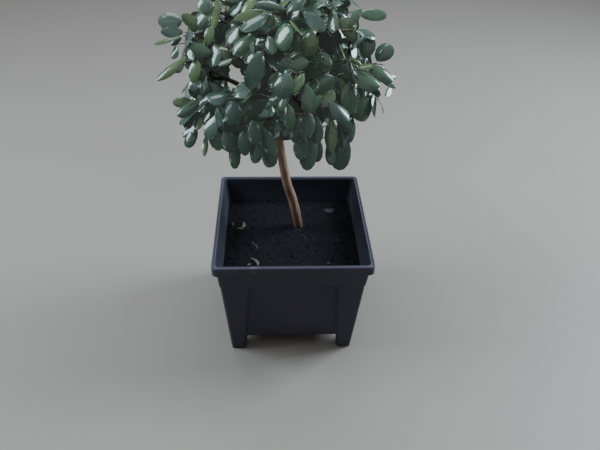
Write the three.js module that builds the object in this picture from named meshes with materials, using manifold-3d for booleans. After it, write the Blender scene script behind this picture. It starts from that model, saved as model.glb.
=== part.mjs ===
// Standard lollipop topiary: a round crown of leaves on one bare trunk, in a square moulded planter.
// Millimetres, +Z up. The origin is on the floor, under the middle of the whole plant's box.

import * as THREE from 'three';
import { ImprovedNoise } from 'three/addons/math/ImprovedNoise.js';
import { mergeVertices } from 'three/addons/utils/BufferGeometryUtils.js';
import Module from 'manifold-3d';

const wasm = await Module();
wasm.setup();

// The clear gap that neighbouring pieces keep.
const GAP = 0.3;

// Planter. Half widths are measured across the flats, and a pair runs from bottom to top.
const POT_HEIGHT = 265;
const RIM_HALF = [157.7, 158.2];
const RIM_HEIGHT = 21;
const RIM_CORNER = 10;
const FASCIA_HALF = [147, 150.5];
const FASCIA_BOTTOM = 204;
const LEG_HALF = [131.5, 145.5];
const LEG_GAP_HALF = [99.5, 85];
const PANEL_RECESS = 8;
const SKIRT_BOTTOM = 37;
const FLOOR_THICKNESS = 4;
const PANEL_WALL = 3;
const MOUTH_HALF = [141.5, 148];
const BODY_CORNER = 7;
const CORNER_STEPS = 3;

// Compost, level at the trunk and uneven elsewhere.
const GROUND = 210;
const COMPOST_LEVEL_RADIUS = 30;
const COMPOST_SLOPE_RADIUS = 110;
const COMPOST_DROP = 3;
const COMPOST_BUMP = 1.6;
const COMPOST_BUMP_SPACING = 38;
const COMPOST_CELLS = 12;

// Trunk: its centre line as it leans to one side and straightens, then its radius up to the fork.
const TRUNK_LINE = [
  [17.5, 40, GROUND],
  [12.6, 40, 240],
  [1.0, 40, 293],
  [-7.5, 40, 319],
  [-18.8, 40, 383],
  [-26.5, 40, 430],
  [-32, 40, 470],
];
const TRUNK_RADIUS = [10.8, 8.4];
const FLARE = 3.4;
const FLARE_HEIGHT = 13;
const TRUNK_SIDES = 12;
const TRUNK_STEPS = 14;

// Crown: rings of foliage masses round one centre, given by angle from +X and height angle.
const CROWN_CENTRE = new THREE.Vector3(-38, 40, 590);
const RINGS = [
  { name: 'low', height: -40, first: 232, radius: 114, reaches: [217, 219, 205, 210, 207], forkHeight: 446 },
  { name: 'mid', height: -1, first: 198, radius: 120, reaches: [228, 222, 229, 225, 226], forkHeight: 492 },
  { name: 'high', height: 42, first: 300, radius: 116, reaches: [202, 206, 201], forkHeight: 548 },
  { name: 'top', height: 90, first: 0, radius: 112, reaches: [188], forkHeight: 0 },
];
const BALL_DETAIL = 4;
const BUMP_DEPTH = 0.07;
const BUMP_RATE = 1.7;
const MASS_GAP = 1;

// Open heart of the crown, where the boughs run from the fork out to the masses.
const HEART = { centre: new THREE.Vector3(-36, 40, 532), radii: new THREE.Vector3(58, 58, 100), detail: 3 };

// Boughs, and the leader that carries on up from the trunk's fork.
const LEADER_RADIUS = [7.4, 3.6];
const BOUGH_RADIUS = [4.4, 2.4];
const BOUGH_RISE = 9;
const FORK_STEP = 9;
const LIMB_SIDES = 7;
const LIMB_STEPS = 6;

const WIDE = 500;
const { lerp, smoothstep, degToRad } = THREE.MathUtils;
const noise = new ImprovedNoise();

// A closed geometry as a solid that can be joined and cut.
function solid(geometry) {
  geometry.deleteAttribute('normal');
  geometry.deleteAttribute('uv');
  const merged = mergeVertices(geometry, 1e-3);
  const vertProperties = new Float32Array(merged.getAttribute('position').array);
  const triVerts = new Uint32Array(merged.index.array);
  return new wasm.Manifold(new wasm.Mesh({ numProp: 3, vertProperties, triVerts }));
}

// A finished solid as a named mesh.
function piece(name, shape, material) {
  const { vertProperties, triVerts } = shape.getMesh();
  const geometry = new THREE.BufferGeometry();
  geometry.setAttribute('position', new THREE.BufferAttribute(vertProperties, 3));
  geometry.setIndex(new THREE.BufferAttribute(triVerts, 1));
  geometry.computeVertexNormals();
  const mesh = new THREE.Mesh(geometry, material);
  mesh.name = name;
  return mesh;
}

// Moves every vertex of a geometry to the place that a function gives for it.
function reshape(geometry, place) {
  const position = geometry.getAttribute('position');
  const point = new THREE.Vector3();
  for (let i = 0; i < position.count; i++) {
    point.fromBufferAttribute(position, i);
    place(point);
    position.setXYZ(i, point.x, point.y, point.z);
  }
  return geometry;
}

// A square of half width 1 with rounded corners.
function unitSquare(corner) {
  const square = new THREE.Shape();
  const flat = 1 - corner;
  for (let quarter = 0; quarter < 4; quarter++) {
    const start = (quarter * Math.PI) / 2;
    const middle = start + Math.PI / 4;
    const x = flat * Math.sign(Math.cos(middle));
    const y = flat * Math.sign(Math.sin(middle));
    square.absarc(x, y, corner, start, start + Math.PI / 2, false);
  }
  square.closePath();
  return square;
}

// An upright block whose half widths change evenly from its bottom to its top.
function taperedBlock([bottom, top], xHalf, yHalf = xHalf, corner = 1) {
  const outline = unitSquare(corner / xHalf[0]);
  const settings = { depth: 1, bevelEnabled: false, curveSegments: CORNER_STEPS };
  const geometry = new THREE.ExtrudeGeometry(outline, settings);
  reshape(geometry, (point) => {
    const x = point.x * lerp(xHalf[0], xHalf[1], point.z);
    const y = point.y * lerp(yHalf[0], yHalf[1], point.z);
    point.set(x, y, lerp(bottom, top, point.z));
  });
  return solid(geometry);
}

// The half width of the legs' outer faces at a height.
function legHalfAt(z) {
  return lerp(LEG_HALF[0], LEG_HALF[1], z / FASCIA_BOTTOM);
}

// One moulding: a tapered body with recessed panels, corner legs, a fascia band and a rim collar.
function makePlanter() {
  const legs = [0, FASCIA_BOTTOM];
  const body = [SKIRT_BOTTOM, FASCIA_BOTTOM];
  const panelHalf = body.map((z) => legHalfAt(z) - PANEL_RECESS);
  const wide = [WIDE, WIDE];
  const inside = [SKIRT_BOTTOM + FLOOR_THICKNESS, FASCIA_BOTTOM];
  const underHalf = [0, SKIRT_BOTTOM].map((z) => legHalfAt(z) - PANEL_RECESS);
  const rimBottom = POT_HEIGHT - RIM_HEIGHT;
  return taperedBlock(legs, LEG_HALF, LEG_HALF, BODY_CORNER)
    .subtract(taperedBlock(legs, LEG_GAP_HALF, wide))
    .subtract(taperedBlock(legs, wide, LEG_GAP_HALF))
    .subtract(taperedBlock([0, SKIRT_BOTTOM], underHalf))
    .add(taperedBlock(body, panelHalf, panelHalf, BODY_CORNER))
    .add(taperedBlock([FASCIA_BOTTOM, rimBottom], FASCIA_HALF, FASCIA_HALF, BODY_CORNER))
    .add(taperedBlock([rimBottom, POT_HEIGHT], RIM_HALF, RIM_HALF, RIM_CORNER))
    .subtract(taperedBlock(inside, insideHalf(), insideHalf(), BODY_CORNER))
    .subtract(taperedBlock([FASCIA_BOTTOM, POT_HEIGHT], MOUTH_HALF, MOUTH_HALF, BODY_CORNER));
}

// The half width of the space inside the panels, at the pot's floor and under the fascia.
function insideHalf() {
  return [SKIRT_BOTTOM + FLOOR_THICKNESS, FASCIA_BOTTOM].map((z) => legHalfAt(z) - PANEL_RECESS - PANEL_WALL);
}

// The compost's height: level under the trunk, then gently down and uneven towards the walls.
function compostHeight(x, y) {
  const away = Math.hypot(x - TRUNK_LINE[0][0], y - TRUNK_LINE[0][1]);
  const rough = smoothstep(away, COMPOST_LEVEL_RADIUS, COMPOST_LEVEL_RADIUS * 2);
  const drop = COMPOST_DROP * smoothstep(away, COMPOST_LEVEL_RADIUS, COMPOST_SLOPE_RADIUS);
  const bump = COMPOST_BUMP * noise.noise(x / COMPOST_BUMP_SPACING, y / COMPOST_BUMP_SPACING, 0.5);
  return GROUND - GAP - drop + bump * rough;
}

// Compost that fills the planter: a tapered block, and a top layer on the ledge above the panels.
function makeCompost() {
  const ledge = FASCIA_BOTTOM + GAP;
  const blockHalf = insideHalf().map((half) => half - GAP);
  const block = taperedBlock([SKIRT_BOTTOM + FLOOR_THICKNESS + GAP, ledge], blockHalf, blockHalf, BODY_CORNER);
  const layerHalf = MOUTH_HALF[0] - GAP;
  const corner = BODY_CORNER;
  const layer = new THREE.BoxGeometry(2, 2, 1, COMPOST_CELLS, COMPOST_CELLS, 1);
  reshape(layer, (point) => {
    const x = point.x * (layerHalf + corner);
    const y = point.y * (layerHalf + corner);
    point.set(x, y, point.z < 0 ? ledge : compostHeight(x, y));
  });
  const fit = taperedBlock([ledge - 1, POT_HEIGHT], [layerHalf, layerHalf], undefined, corner);
  return solid(layer).intersect(fit).add(block);
}

// A limb: a cylinder bent along a path, its radius changing along it. Level rings keep flat ends.
function limb({ path, radiusAt, sides, steps, level = false }) {
  const frames = path.computeFrenetFrames(steps);
  const geometry = new THREE.CylinderGeometry(1, 1, 1, sides, steps);
  reshape(geometry, (point) => {
    const along = point.y + 0.5;
    const radius = radiusAt(along);
    const step = Math.round(along * steps);
    const across = level ? new THREE.Vector3(1, 0, 0) : frames.binormals[step];
    const other = level ? new THREE.Vector3(0, -1, 0) : frames.normals[step];
    const { x, z } = point;
    point.copy(path.getPointAt(along));
    point.addScaledVector(across, x * radius);
    point.addScaledVector(other, z * radius);
  });
  return solid(geometry);
}

// The trunk, with a root flare at its flat foot. A spare radius makes the space it stands in.
const trunkPath = new THREE.CatmullRomCurve3(TRUNK_LINE.map((point) => new THREE.Vector3(...point)));
function makeTrunk(spare = 0) {
  const height = TRUNK_LINE.at(-1)[2] - GROUND;
  return limb({
    path: trunkPath,
    radiusAt: (along) => lerp(...TRUNK_RADIUS, along) + FLARE * Math.exp((-along * height) / FLARE_HEIGHT) + spare,
    sides: TRUNK_SIDES,
    steps: TRUNK_STEPS,
    level: true,
  });
}

// The masses' places: each ring's lobes are spread evenly, and each reaches its own distance.
const lobes = RINGS.flatMap(({ name, height, first, radius, reaches, forkHeight }) =>
  reaches.map((reach, i) => {
    const turn = degToRad(first + (360 * i) / reaches.length);
    const lift = degToRad(height);
    const out = new THREE.Vector3(Math.cos(turn) * Math.cos(lift), Math.sin(turn) * Math.cos(lift), Math.sin(lift));
    return {
      name: reaches.length > 1 ? `${name}_${i + 1}` : name,
      ring: name,
      out,
      radius,
      centre: CROWN_CENTRE.clone().addScaledVector(out, reach - radius),
      forkHeight: forkHeight + FORK_STEP * ((i * 2) % reaches.length),
    };
  }),
);

// The leader: from the trunk's fork up to the top mass.
const fork = trunkPath.getPointAt(1);
const topLobe = lobes.at(-1);
const leaderPath = new THREE.QuadraticBezierCurve3(
  fork.clone().setZ(fork.z + GAP),
  new THREE.Vector3(topLobe.centre.x - 3, topLobe.centre.y + 4, (fork.z + topLobe.centre.z) / 2),
  topLobe.centre,
);
function makeLeader(spare = 0) {
  const radiusAt = (along) => lerp(...LEADER_RADIUS, along) + spare;
  return limb({ path: leaderPath, radiusAt, sides: LIMB_SIDES + 1, steps: LIMB_STEPS + 2, level: true });
}

// The open heart of the crown, smaller by a gap for the boughs that end at its wall.
function makeHeart(spare = 0) {
  const geometry = new THREE.IcosahedronGeometry(1, HEART.detail);
  reshape(geometry, (point) => {
    const radii = HEART.radii.clone().subScalar(spare);
    point.multiply(radii).add(HEART.centre);
  });
  return solid(geometry);
}

// A point on the line that a limb follows, at a height.
function pointAtHeight(path, z) {
  const steps = 200;
  const points = path.getSpacedPoints(steps);
  return points.find((point) => point.z >= z) ?? points.at(-1);
}

// A bough: from the side of the trunk or leader out to its mass, ending at the mass's inner face.
function makeBough({ centre, forkHeight }) {
  const parent = forkHeight < fork.z ? trunkPath : leaderPath;
  const root = pointAtHeight(parent, forkHeight);
  const out = centre.clone().sub(root).setZ(0).normalize();
  const start = root.clone().addScaledVector(out, BOUGH_RADIUS[0]);
  const bend = start.clone().lerp(centre, 0.5);
  bend.z += BOUGH_RISE;
  const path = new THREE.QuadraticBezierCurve3(start, bend, centre);
  const radiusAt = (along) => lerp(...BOUGH_RADIUS, along);
  return limb({ path, radiusAt, sides: LIMB_SIDES, steps: LIMB_STEPS })
    .intersect(makeHeart(GAP))
    .subtract(makeTrunk(GAP))
    .subtract(makeLeader(GAP));
}

// The uneven ball that a mass is cut from.
function unevenBall({ centre, radius }, index) {
  const geometry = new THREE.IcosahedronGeometry(1, BALL_DETAIL);
  const shift = index * 7.3;
  reshape(geometry, (point) => {
    const { x, y, z } = point;
    const bump = noise.noise(x * BUMP_RATE + shift, y * BUMP_RATE - shift, z * BUMP_RATE + shift / 2);
    point.multiplyScalar(radius * (1 + BUMP_DEPTH * bump)).add(centre);
  });
  return solid(geometry);
}

// Everything beyond the plane where a mass meets a neighbour, less half the gap between them.
function beyond(lobe, neighbour) {
  const apart = neighbour.centre.clone().sub(lobe.centre);
  const distance = apart.length();
  const meet = (distance ** 2 + lobe.radius ** 2 - neighbour.radius ** 2) / (2 * distance);
  const block = new THREE.BoxGeometry(WIDE, WIDE, WIDE);
  block.translate(0, 0, WIDE / 2 + meet - MASS_GAP / 2);
  const turn = new THREE.Quaternion().setFromUnitVectors(new THREE.Vector3(0, 0, 1), apart.normalize());
  block.applyQuaternion(turn);
  block.translate(...lobe.centre);
  return solid(block);
}

// A mass of foliage: its uneven ball, cut where it meets each neighbour, the heart and the trunk.
function makeMass(lobe, index) {
  let mass = unevenBall(lobe, index);
  for (const neighbour of lobes) {
    if (neighbour !== lobe) {
      mass = mass.subtract(beyond(lobe, neighbour));
    }
  }
  return mass.subtract(makeHeart()).subtract(makeTrunk(MASS_GAP));
}

const plastic = new THREE.MeshStandardMaterial({ color: 0x24272d, roughness: 0.6, metalness: 0 });
const peat = new THREE.MeshStandardMaterial({ color: 0x15110f, roughness: 0.95, metalness: 0 });
const bark = new THREE.MeshStandardMaterial({ color: 0x9a7450, roughness: 0.8, metalness: 0 });
const leaves = new THREE.MeshStandardMaterial({ color: 0x24402a, roughness: 0.4, metalness: 0 });

const plant = new THREE.Group();
plant.add(piece('planter', makePlanter(), plastic));
plant.add(piece('compost', makeCompost(), peat));
plant.add(piece('trunk', makeTrunk(), bark));
plant.add(piece('leader', makeLeader().intersect(makeHeart(GAP)), bark));
lobes.forEach((lobe, index) => {
  if (lobe !== topLobe) {
    plant.add(piece(`bough_${lobe.name}`, makeBough(lobe), bark));
  }
  plant.add(piece(`foliage_${lobe.name}`, makeMass(lobe, index), leaves));
});

// The plant is moved so that the origin is on the floor, under the middle of its box.
const box = new THREE.Box3().setFromObject(plant);
const middle = box.getCenter(new THREE.Vector3());
plant.position.set(-middle.x, -middle.y, -box.min.z);

const topiary = new THREE.Group();
topiary.add(plant);

export default topiary;
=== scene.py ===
"""A standard lollipop topiary in a square moulded planter: its looks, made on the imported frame."""

import math
import random

import bmesh
import bpy
import numpy as np
from mathutils import Matrix, Quaternion, Vector, noise
from mathutils.bvhtree import BVHTree


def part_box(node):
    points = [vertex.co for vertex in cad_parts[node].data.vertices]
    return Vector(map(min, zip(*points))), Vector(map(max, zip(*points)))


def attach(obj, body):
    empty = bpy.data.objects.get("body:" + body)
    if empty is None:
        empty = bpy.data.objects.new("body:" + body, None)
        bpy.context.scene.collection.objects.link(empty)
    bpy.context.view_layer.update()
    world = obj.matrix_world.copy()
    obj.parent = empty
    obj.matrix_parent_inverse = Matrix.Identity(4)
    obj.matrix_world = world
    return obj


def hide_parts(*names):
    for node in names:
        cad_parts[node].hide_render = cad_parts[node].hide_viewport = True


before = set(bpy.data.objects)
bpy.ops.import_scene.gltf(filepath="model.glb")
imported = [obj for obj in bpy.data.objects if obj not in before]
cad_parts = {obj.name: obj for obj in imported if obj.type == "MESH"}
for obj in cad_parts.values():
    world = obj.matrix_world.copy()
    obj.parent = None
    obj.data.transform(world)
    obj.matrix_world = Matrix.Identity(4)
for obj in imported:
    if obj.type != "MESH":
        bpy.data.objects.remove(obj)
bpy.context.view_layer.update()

MM = 0.001
UP = Vector((0, 0, 1))
BODY = "root"
GOLDEN_TURN = math.pi * (3 - math.sqrt(5))


# Node trees, written as expressions


class Term:
    """A socket used in arithmetic. Each operator adds the Math node that works it out."""

    def __init__(self, graph, socket):
        self.graph = graph
        self.socket = socket

    def __add__(self, other):
        return self.graph.maths("ADD", self, other)

    def __radd__(self, other):
        return self.graph.maths("ADD", other, self)

    def __sub__(self, other):
        return self.graph.maths("SUBTRACT", self, other)

    def __rsub__(self, other):
        return self.graph.maths("SUBTRACT", other, self)

    def __mul__(self, other):
        return self.graph.maths("MULTIPLY", self, other)

    def __rmul__(self, other):
        return self.graph.maths("MULTIPLY", other, self)

    def __pow__(self, other):
        return self.graph.maths("POWER", self, other)

    def absolute(self):
        return self.graph.maths("ABSOLUTE", self)

    def sine(self):
        return self.graph.maths("SINE", self)

    def within(self, low, high):
        """0 below low, 1 above high, and a smooth rise between them."""
        sockets = {"Value": self, "From Min": low, "From Max": high}
        return self.graph.add("ShaderNodeMapRange", {"interpolation_type": "SMOOTHSTEP"}, sockets)


class Graph:
    """A node tree being laid out."""

    def __init__(self, tree):
        self.tree = tree

    def node(self, kind, settings=None, sockets=None):
        """A node of a type, with its settings and then the values or links of its sockets."""
        node = self.tree.nodes.new(kind)
        for name, value in (settings or {}).items():
            setattr(node, name, value)
        for key, value in (sockets or {}).items():
            self.feed(node.inputs[key], value)
        return node

    def add(self, kind, settings=None, sockets=None, out=0):
        """One output of such a node, for use in an expression."""
        return Term(self, self.node(kind, settings, sockets).outputs[out])

    def feed(self, socket, value):
        """Gives a socket its link or its value."""
        if isinstance(value, Term):
            self.tree.links.new(value.socket, socket)
        else:
            socket.default_value = value

    def maths(self, operation, *values):
        return self.add("ShaderNodeMath", {"operation": operation}, dict(enumerate(values)))

    def vectors(self, operation, *values, out="Vector"):
        """Vector maths, with the output "Value" where an operation ends in a number."""
        return self.add("ShaderNodeVectorMath", {"operation": operation}, dict(enumerate(values)), out)

    def part(self, vector, axis):
        """A vector's part along X, Y or Z."""
        return self.add("ShaderNodeSeparateXYZ", None, {0: vector}, axis)

    def blend(self, factor, first, second):
        """One colour turning into another."""
        sockets = {0: factor, 6: self.colour(first), 7: self.colour(second)}
        return self.add("ShaderNodeMix", {"data_type": "RGBA"}, sockets, out=2)

    def colour(self, value):
        return value if isinstance(value, Term) else (*value, 1)


class Finish(Graph):
    """A surface finish. Values that are the same all over are set on the shader's own sockets."""

    def __init__(self, name, **fixed):
        self.material = bpy.data.materials.new(name)
        self.material.use_nodes = True
        super().__init__(self.material.node_tree)
        self.tree.nodes.clear()
        sockets = {label.replace("_", " "): value for label, value in fixed.items()}
        self.shader = self.node("ShaderNodeBsdfPrincipled", None, sockets)
        self.node("ShaderNodeOutputMaterial", None, {"Surface": Term(self, self.shader.outputs[0])})

    def drive(self, label, value):
        """Links what varies over the surface to one of the shader's sockets."""
        self.feed(self.shader.inputs[label], value)

    def place(self, stretch=(1, 1, 1)):
        """Object coordinates, stretched by a factor along each axis."""
        here = self.add("ShaderNodeTexCoord", out="Object")
        return self.add("ShaderNodeMapping", None, {"Vector": here, "Scale": stretch})

    def mottle(self, scale, detail=3.0, roughness=0.55, where=None):
        """A cloudy value from 0 to 1, with features about 1 / scale metres across."""
        sockets = {"Vector": where or self.place(), "Scale": scale, "Detail": detail, "Roughness": roughness}
        return self.add("ShaderNodeTexNoise", None, sockets)

    def cells(self, scale, where):
        """The distance to the nearest of many scattered points."""
        return self.add("ShaderNodeTexVoronoi", None, {"Vector": where, "Scale": scale}, "Distance")

    def relief(self, height, depth):
        """A bump of a depth in metres."""
        return self.add("ShaderNodeBump", None, {"Height": height, "Distance": depth})


class Recipe(Graph):
    """Geometry nodes with named inputs, which turn a start mesh into a finished one."""

    SOCKETS = {
        "number": "NodeSocketFloat",
        "count": "NodeSocketInt",
        "material": "NodeSocketMaterial",
        "shapes": "NodeSocketCollection",
    }

    def __init__(self, name, **inputs):
        super().__init__(bpy.data.node_groups.new(name, "GeometryNodeTree"))
        face = self.tree.interface
        self.keys = {}
        face.new_socket("Start", in_out="INPUT", socket_type="NodeSocketGeometry")
        face.new_socket("Made", in_out="OUTPUT", socket_type="NodeSocketGeometry")
        for label, kind in inputs.items():
            socket = face.new_socket(label, in_out="INPUT", socket_type=self.SOCKETS[kind])
            self.keys[label] = socket.identifier
        self.entry = self.node("NodeGroupInput")
        self.exit = self.node("NodeGroupOutput")

    def given(self, label="Start"):
        """The start mesh, or another input."""
        return Term(self, self.entry.outputs[label])

    def named(self, attribute, kind="FLOAT"):
        """A named attribute of the start mesh."""
        return self.add("GeometryNodeInputNamedAttribute", {"data_type": kind}, {"Name": attribute})

    def set_out(self, points, which, turn, size):
        """One of the given shapes on every point."""
        sockets = {"Collection": self.given("Shapes"), "Separate Children": True, "Reset Children": True}
        shapes = self.add("GeometryNodeCollectionInfo", None, sockets)
        sockets = {
            "Points": points, "Instance": shapes, "Pick Instance": True, "Instance Index": which,
            "Rotation": turn, "Scale": size,
        }
        return self.add("GeometryNodeInstanceOnPoints", None, sockets)

    def coat(self, geometry, label, **choice):
        """A given material on the geometry, or on the choice of its faces."""
        sockets = {0: geometry, "Material": self.given(label), **choice}
        return self.add("GeometryNodeSetMaterial", None, sockets)

    def realize(self, geometry):
        """Instances made into real meshes, because the export drops instances."""
        return self.add("GeometryNodeRealizeInstances", None, {0: geometry})

    def end_with(self, geometry):
        """The geometry that the recipe gives."""
        self.feed(self.exit.inputs[0], geometry)

    def make(self, name, start, **values):
        """Runs the nodes on a mesh and gives the result as a plain piece."""
        carrier = add_piece(name + "_start", start)
        modifier = carrier.modifiers.new("recipe", "NODES")
        modifier.node_group = self.tree
        for label, value in values.items():
            modifier[self.keys[label]] = value
        return add_piece(name, worked_mesh(carrier))


# Pieces


def add_piece(name, mesh):
    mesh.name = name
    piece = bpy.data.objects.new(name, mesh)
    bpy.context.scene.collection.objects.link(piece)
    return piece


def settle(piece, slot, *replaced):
    """Fixes a finished piece to the frame."""
    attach(piece, BODY)
    if replaced:
        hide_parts(*replaced)


def mesh_from(bm, name):
    """A finished bmesh as a mesh."""
    mesh = bpy.data.meshes.new(name)
    bm.to_mesh(mesh)
    bm.free()
    return mesh


def worked_mesh(carrier):
    """The mesh that a carrier's modifiers make. The carrier is removed."""
    depsgraph = bpy.context.evaluated_depsgraph_get()
    mesh = bpy.data.meshes.new_from_object(carrier.evaluated_get(depsgraph))
    bpy.data.objects.remove(carrier)
    return mesh


def smooth(mesh, degrees):
    """Smooth shading, with edges sharper than an angle kept crisp."""
    mesh.shade_smooth()
    mesh.set_sharp_from_angle(angle=math.radians(degrees))


def toned(colour, share):
    """A colour made darker, or with a share above 1 lighter."""
    return tuple(part * share for part in colour)


# What the CAD gives


def node_points(name):
    """A CAD node's vertices."""
    return [vertex.co.copy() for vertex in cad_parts[name].data.vertices]


def middle_of(points):
    """The mean of several points."""
    return sum(points, Vector()) / len(points)


def ring_middle(points):
    """The middle of a ring's box, which repeated vertices don't pull aside."""
    low = Vector(map(min, zip(*points)))
    high = Vector(map(max, zip(*points)))
    return (low + high) / 2


def box_of(names):
    """The box round several CAD nodes."""
    boxes = [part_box(name) for name in names]
    low = Vector([min(box[0][k] for box in boxes) for k in range(3)])
    high = Vector([max(box[1][k] for box in boxes) for k in range(3)])
    return low, high


def trunk_line():
    """The trunk's middle and girth at each level ring of its CAD solid."""
    levels = {}
    for point in node_points("trunk"):
        levels.setdefault(round(point.z, 4), []).append(point)
    line = []
    for z in sorted(levels):
        middle = middle_of(levels[z]) if len(levels[z]) < 3 else ring_middle(levels[z])
        girth = max((point - middle).length for point in levels[z])
        line.append((middle, girth))
    return line


def limb_ends(name, root):
    """The middles of a limb's two ends, the one nearer its root first."""
    points = sorted(node_points(name), key=lambda point: (point - root).length)
    share = max(3, len(points) // 8)
    return ring_middle(points[:share]), ring_middle(points[-share:])


pot_low, pot_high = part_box("planter")
POT = Vector(((pot_low.x + pot_high.x) / 2, (pot_low.y + pot_high.y) / 2, 0))
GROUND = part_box("trunk")[0].z
TRUNK_LINE = trunk_line()
TRUNK_FOOT = TRUNK_LINE[0][0]
MASSES = sorted(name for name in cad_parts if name.startswith("foliage"))
BOUGHS = sorted(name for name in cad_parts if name.startswith("bough"))
CROWN_MIDDLE = sum(box_of(MASSES), Vector()) / 2


# The photo's view


FRAME_WIDTH_PX = 600
FRAME_HEIGHT_PX = 450
FOCAL_PX = 572.48

# From the planter's middle on the floor, in metres. The heading turns right from +Y, the pitch down.
CAMERA_PLACE = Vector((-0.0400, -0.9584, 1.0117))
CAMERA_HEADING = math.radians(3.51)
CAMERA_PITCH = math.radians(38.61)
CAMERA_ROLL = math.radians(1.81)


class View:
    """The photo's own view, solved from the straight edges in it."""

    def __init__(self):
        heading, pitch, roll = CAMERA_HEADING, CAMERA_PITCH, CAMERA_ROLL
        level = Vector((math.cos(heading), -math.sin(heading), 0))
        self.place = POT + CAMERA_PLACE
        self.ahead = Vector(
            (math.sin(heading) * math.cos(pitch), math.cos(heading) * math.cos(pitch), -math.sin(pitch))
        )
        self.right = level * math.cos(roll) + level.cross(self.ahead) * math.sin(roll)
        self.down = self.ahead.cross(self.right)

    def seen_at(self, point):
        """The pixel where a place appears, and how far off it is along the view."""
        away = point - self.place
        depth = away.dot(self.ahead)
        across = away.dot(self.right) / depth * FOCAL_PX
        down = away.dot(self.down) / depth * FOCAL_PX
        return Vector((FRAME_WIDTH_PX / 2 + across, FRAME_HEIGHT_PX / 2 + down)), depth

    def through(self, pixel, depth):
        """The place that appears at a pixel at a depth along the view."""
        across = (pixel[0] - FRAME_WIDTH_PX / 2) / FOCAL_PX
        down = (pixel[1] - FRAME_HEIGHT_PX / 2) / FOCAL_PX
        return self.place + (self.ahead + self.right * across + self.down * down) * depth


# Planter


RIM_HALF = (pot_high.x - pot_low.x) / 2
RIM_TOP = pot_high.z
FASCIA_FOOT = 204 * MM
SKIRT = 37 * MM
BODY_RINGS = (SKIRT, 90 * MM, 150 * MM)
LEG_RINGS = (20 * MM, 1.2 * MM, 0)
LEG_FOOT_HALF = 131.5 * MM
LEG_TOP_HALF = 145.5 * MM
LEG_GAP_FOOT = 99.5 * MM
LEG_GAP_TOP = 85 * MM
FOOT_EASE = 0.6 * MM
PANEL_RECESS = 8 * MM
PANEL_SIDE_SLOPE = 4.5 * MM
PANEL_STEPS = 4
FASCIA_STEP = 1 * MM
FASCIA_FOOT_HALF = 147 * MM
FASCIA_TOP_HALF = 150.5 * MM
RIM_DEPTH = 21 * MM
LEDGE_HALF = 141.5 * MM
BASIN_HALF = 133 * MM
FLOOR_THICKNESS = 4 * MM
WALL_THICKNESS = 3 * MM
BODY_CORNER = 7 * MM
CORNER_STEPS = 6
EDGE_ROUNDING = 0.9 * MM
WELD = 0.02 * MM

# The rim's section, from its foot outside over the top and down the inner wall, in mm: how far below
# the top, how far in from the widest, and the corner's radius.
RIM_SECTION = (
    (21, 0.8, 10), (19.8, 0.1, 10), (2.2, 0, 10), (0.6, 0.7, 10), (0, 2, 9), (0.1, 3.2, 8), (1.1, 3.9, 8),
    (1.1, 5.6, 7), (0.2, 6.4, 7), (0.4, 7.6, 7), (3.4, 9.8, 7), (8, 10.4, 7),
)

# A dull smear on the rim, from the planter's middle.
SMEAR_PLACE = Vector((-77, -157, 261)) * MM
SMEAR_REACH = 15 * MM

PLASTIC = (0.0465, 0.043, 0.063)
WORN_PLASTIC = (0.056, 0.0515, 0.0735)
DUST = (0.085, 0.08, 0.082)
# The inner walls' near black is painted shade.
INNER_WALL_PAINTED_SHADE = (0.009, 0.0095, 0.014)
DULL_SMEAR = (0.13, 0.115, 0.11)


def leg_half(z):
    """Half the width across the legs' outer faces at a height."""
    return LEG_FOOT_HALF + (LEG_TOP_HALF - LEG_FOOT_HALF) * z / FASCIA_FOOT


def leg_gap(z):
    """Half the width of the panel between two legs at a height."""
    return LEG_GAP_FOOT + (LEG_GAP_TOP - LEG_GAP_FOOT) * z / FASCIA_FOOT


def plan_side(half, corner, gap, recess):
    """Half a corner, a leg, the panel, the next leg and half a corner, as (along, out) pairs."""
    centre = half - corner
    arc = [math.radians(45) * (1 - step / CORNER_STEPS) for step in range(CORNER_STEPS + 1)]
    left = [(-centre - corner * math.sin(turn), centre + corner * math.cos(turn)) for turn in arc]
    left.append((-gap - PANEL_SIDE_SLOPE, half))
    left.append((-gap, half - recess))
    left.append((-gap / 2, half - recess))
    right = [(-along, out) for along, out in reversed(left)]
    return left + [(0, half - recess)] + right[:-1]


def plan_ring(z, half, corner, gap, recess):
    """The planter's outline at a height, as the same number of points for every ring."""
    side = plan_side(half, corner, gap, recess)
    ring = []
    for quarter in range(4):
        turn = Matrix.Rotation(quarter * math.pi / 2, 3, "Z")
        ring += [POT + turn @ Vector((along, -out, z)) for along, out in side]
    return ring


def shell_profile():
    """The moulding's rings, from the skirt up over the rim and down to the floor inside, each with its
    height, half width, corner radius and how deep its panels lie."""
    body = [(z, leg_half(z), BODY_CORNER, PANEL_RECESS) for z in BODY_RINGS]
    fascia = [
        (FASCIA_FOOT - FASCIA_STEP, leg_half(FASCIA_FOOT), BODY_CORNER, PANEL_RECESS),
        (FASCIA_FOOT + FASCIA_STEP, FASCIA_FOOT_HALF, BODY_CORNER, 0),
        (RIM_TOP - RIM_DEPTH, FASCIA_TOP_HALF, BODY_CORNER + 1 * MM, 0),
    ]
    rim = [
        (RIM_TOP - down * MM, RIM_HALF - inward * MM, corner * MM, 0) for down, inward, corner in RIM_SECTION
    ]
    basin = [
        (FASCIA_FOOT, LEDGE_HALF, BODY_CORNER, 0),
        (FASCIA_FOOT - FASCIA_STEP, BASIN_HALF, BODY_CORNER, 0),
        (SKIRT + FLOOR_THICKNESS, leg_half(SKIRT) - PANEL_RECESS - WALL_THICKNESS, BODY_CORNER, 0),
    ]
    return body + fascia + rim + basin


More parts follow.
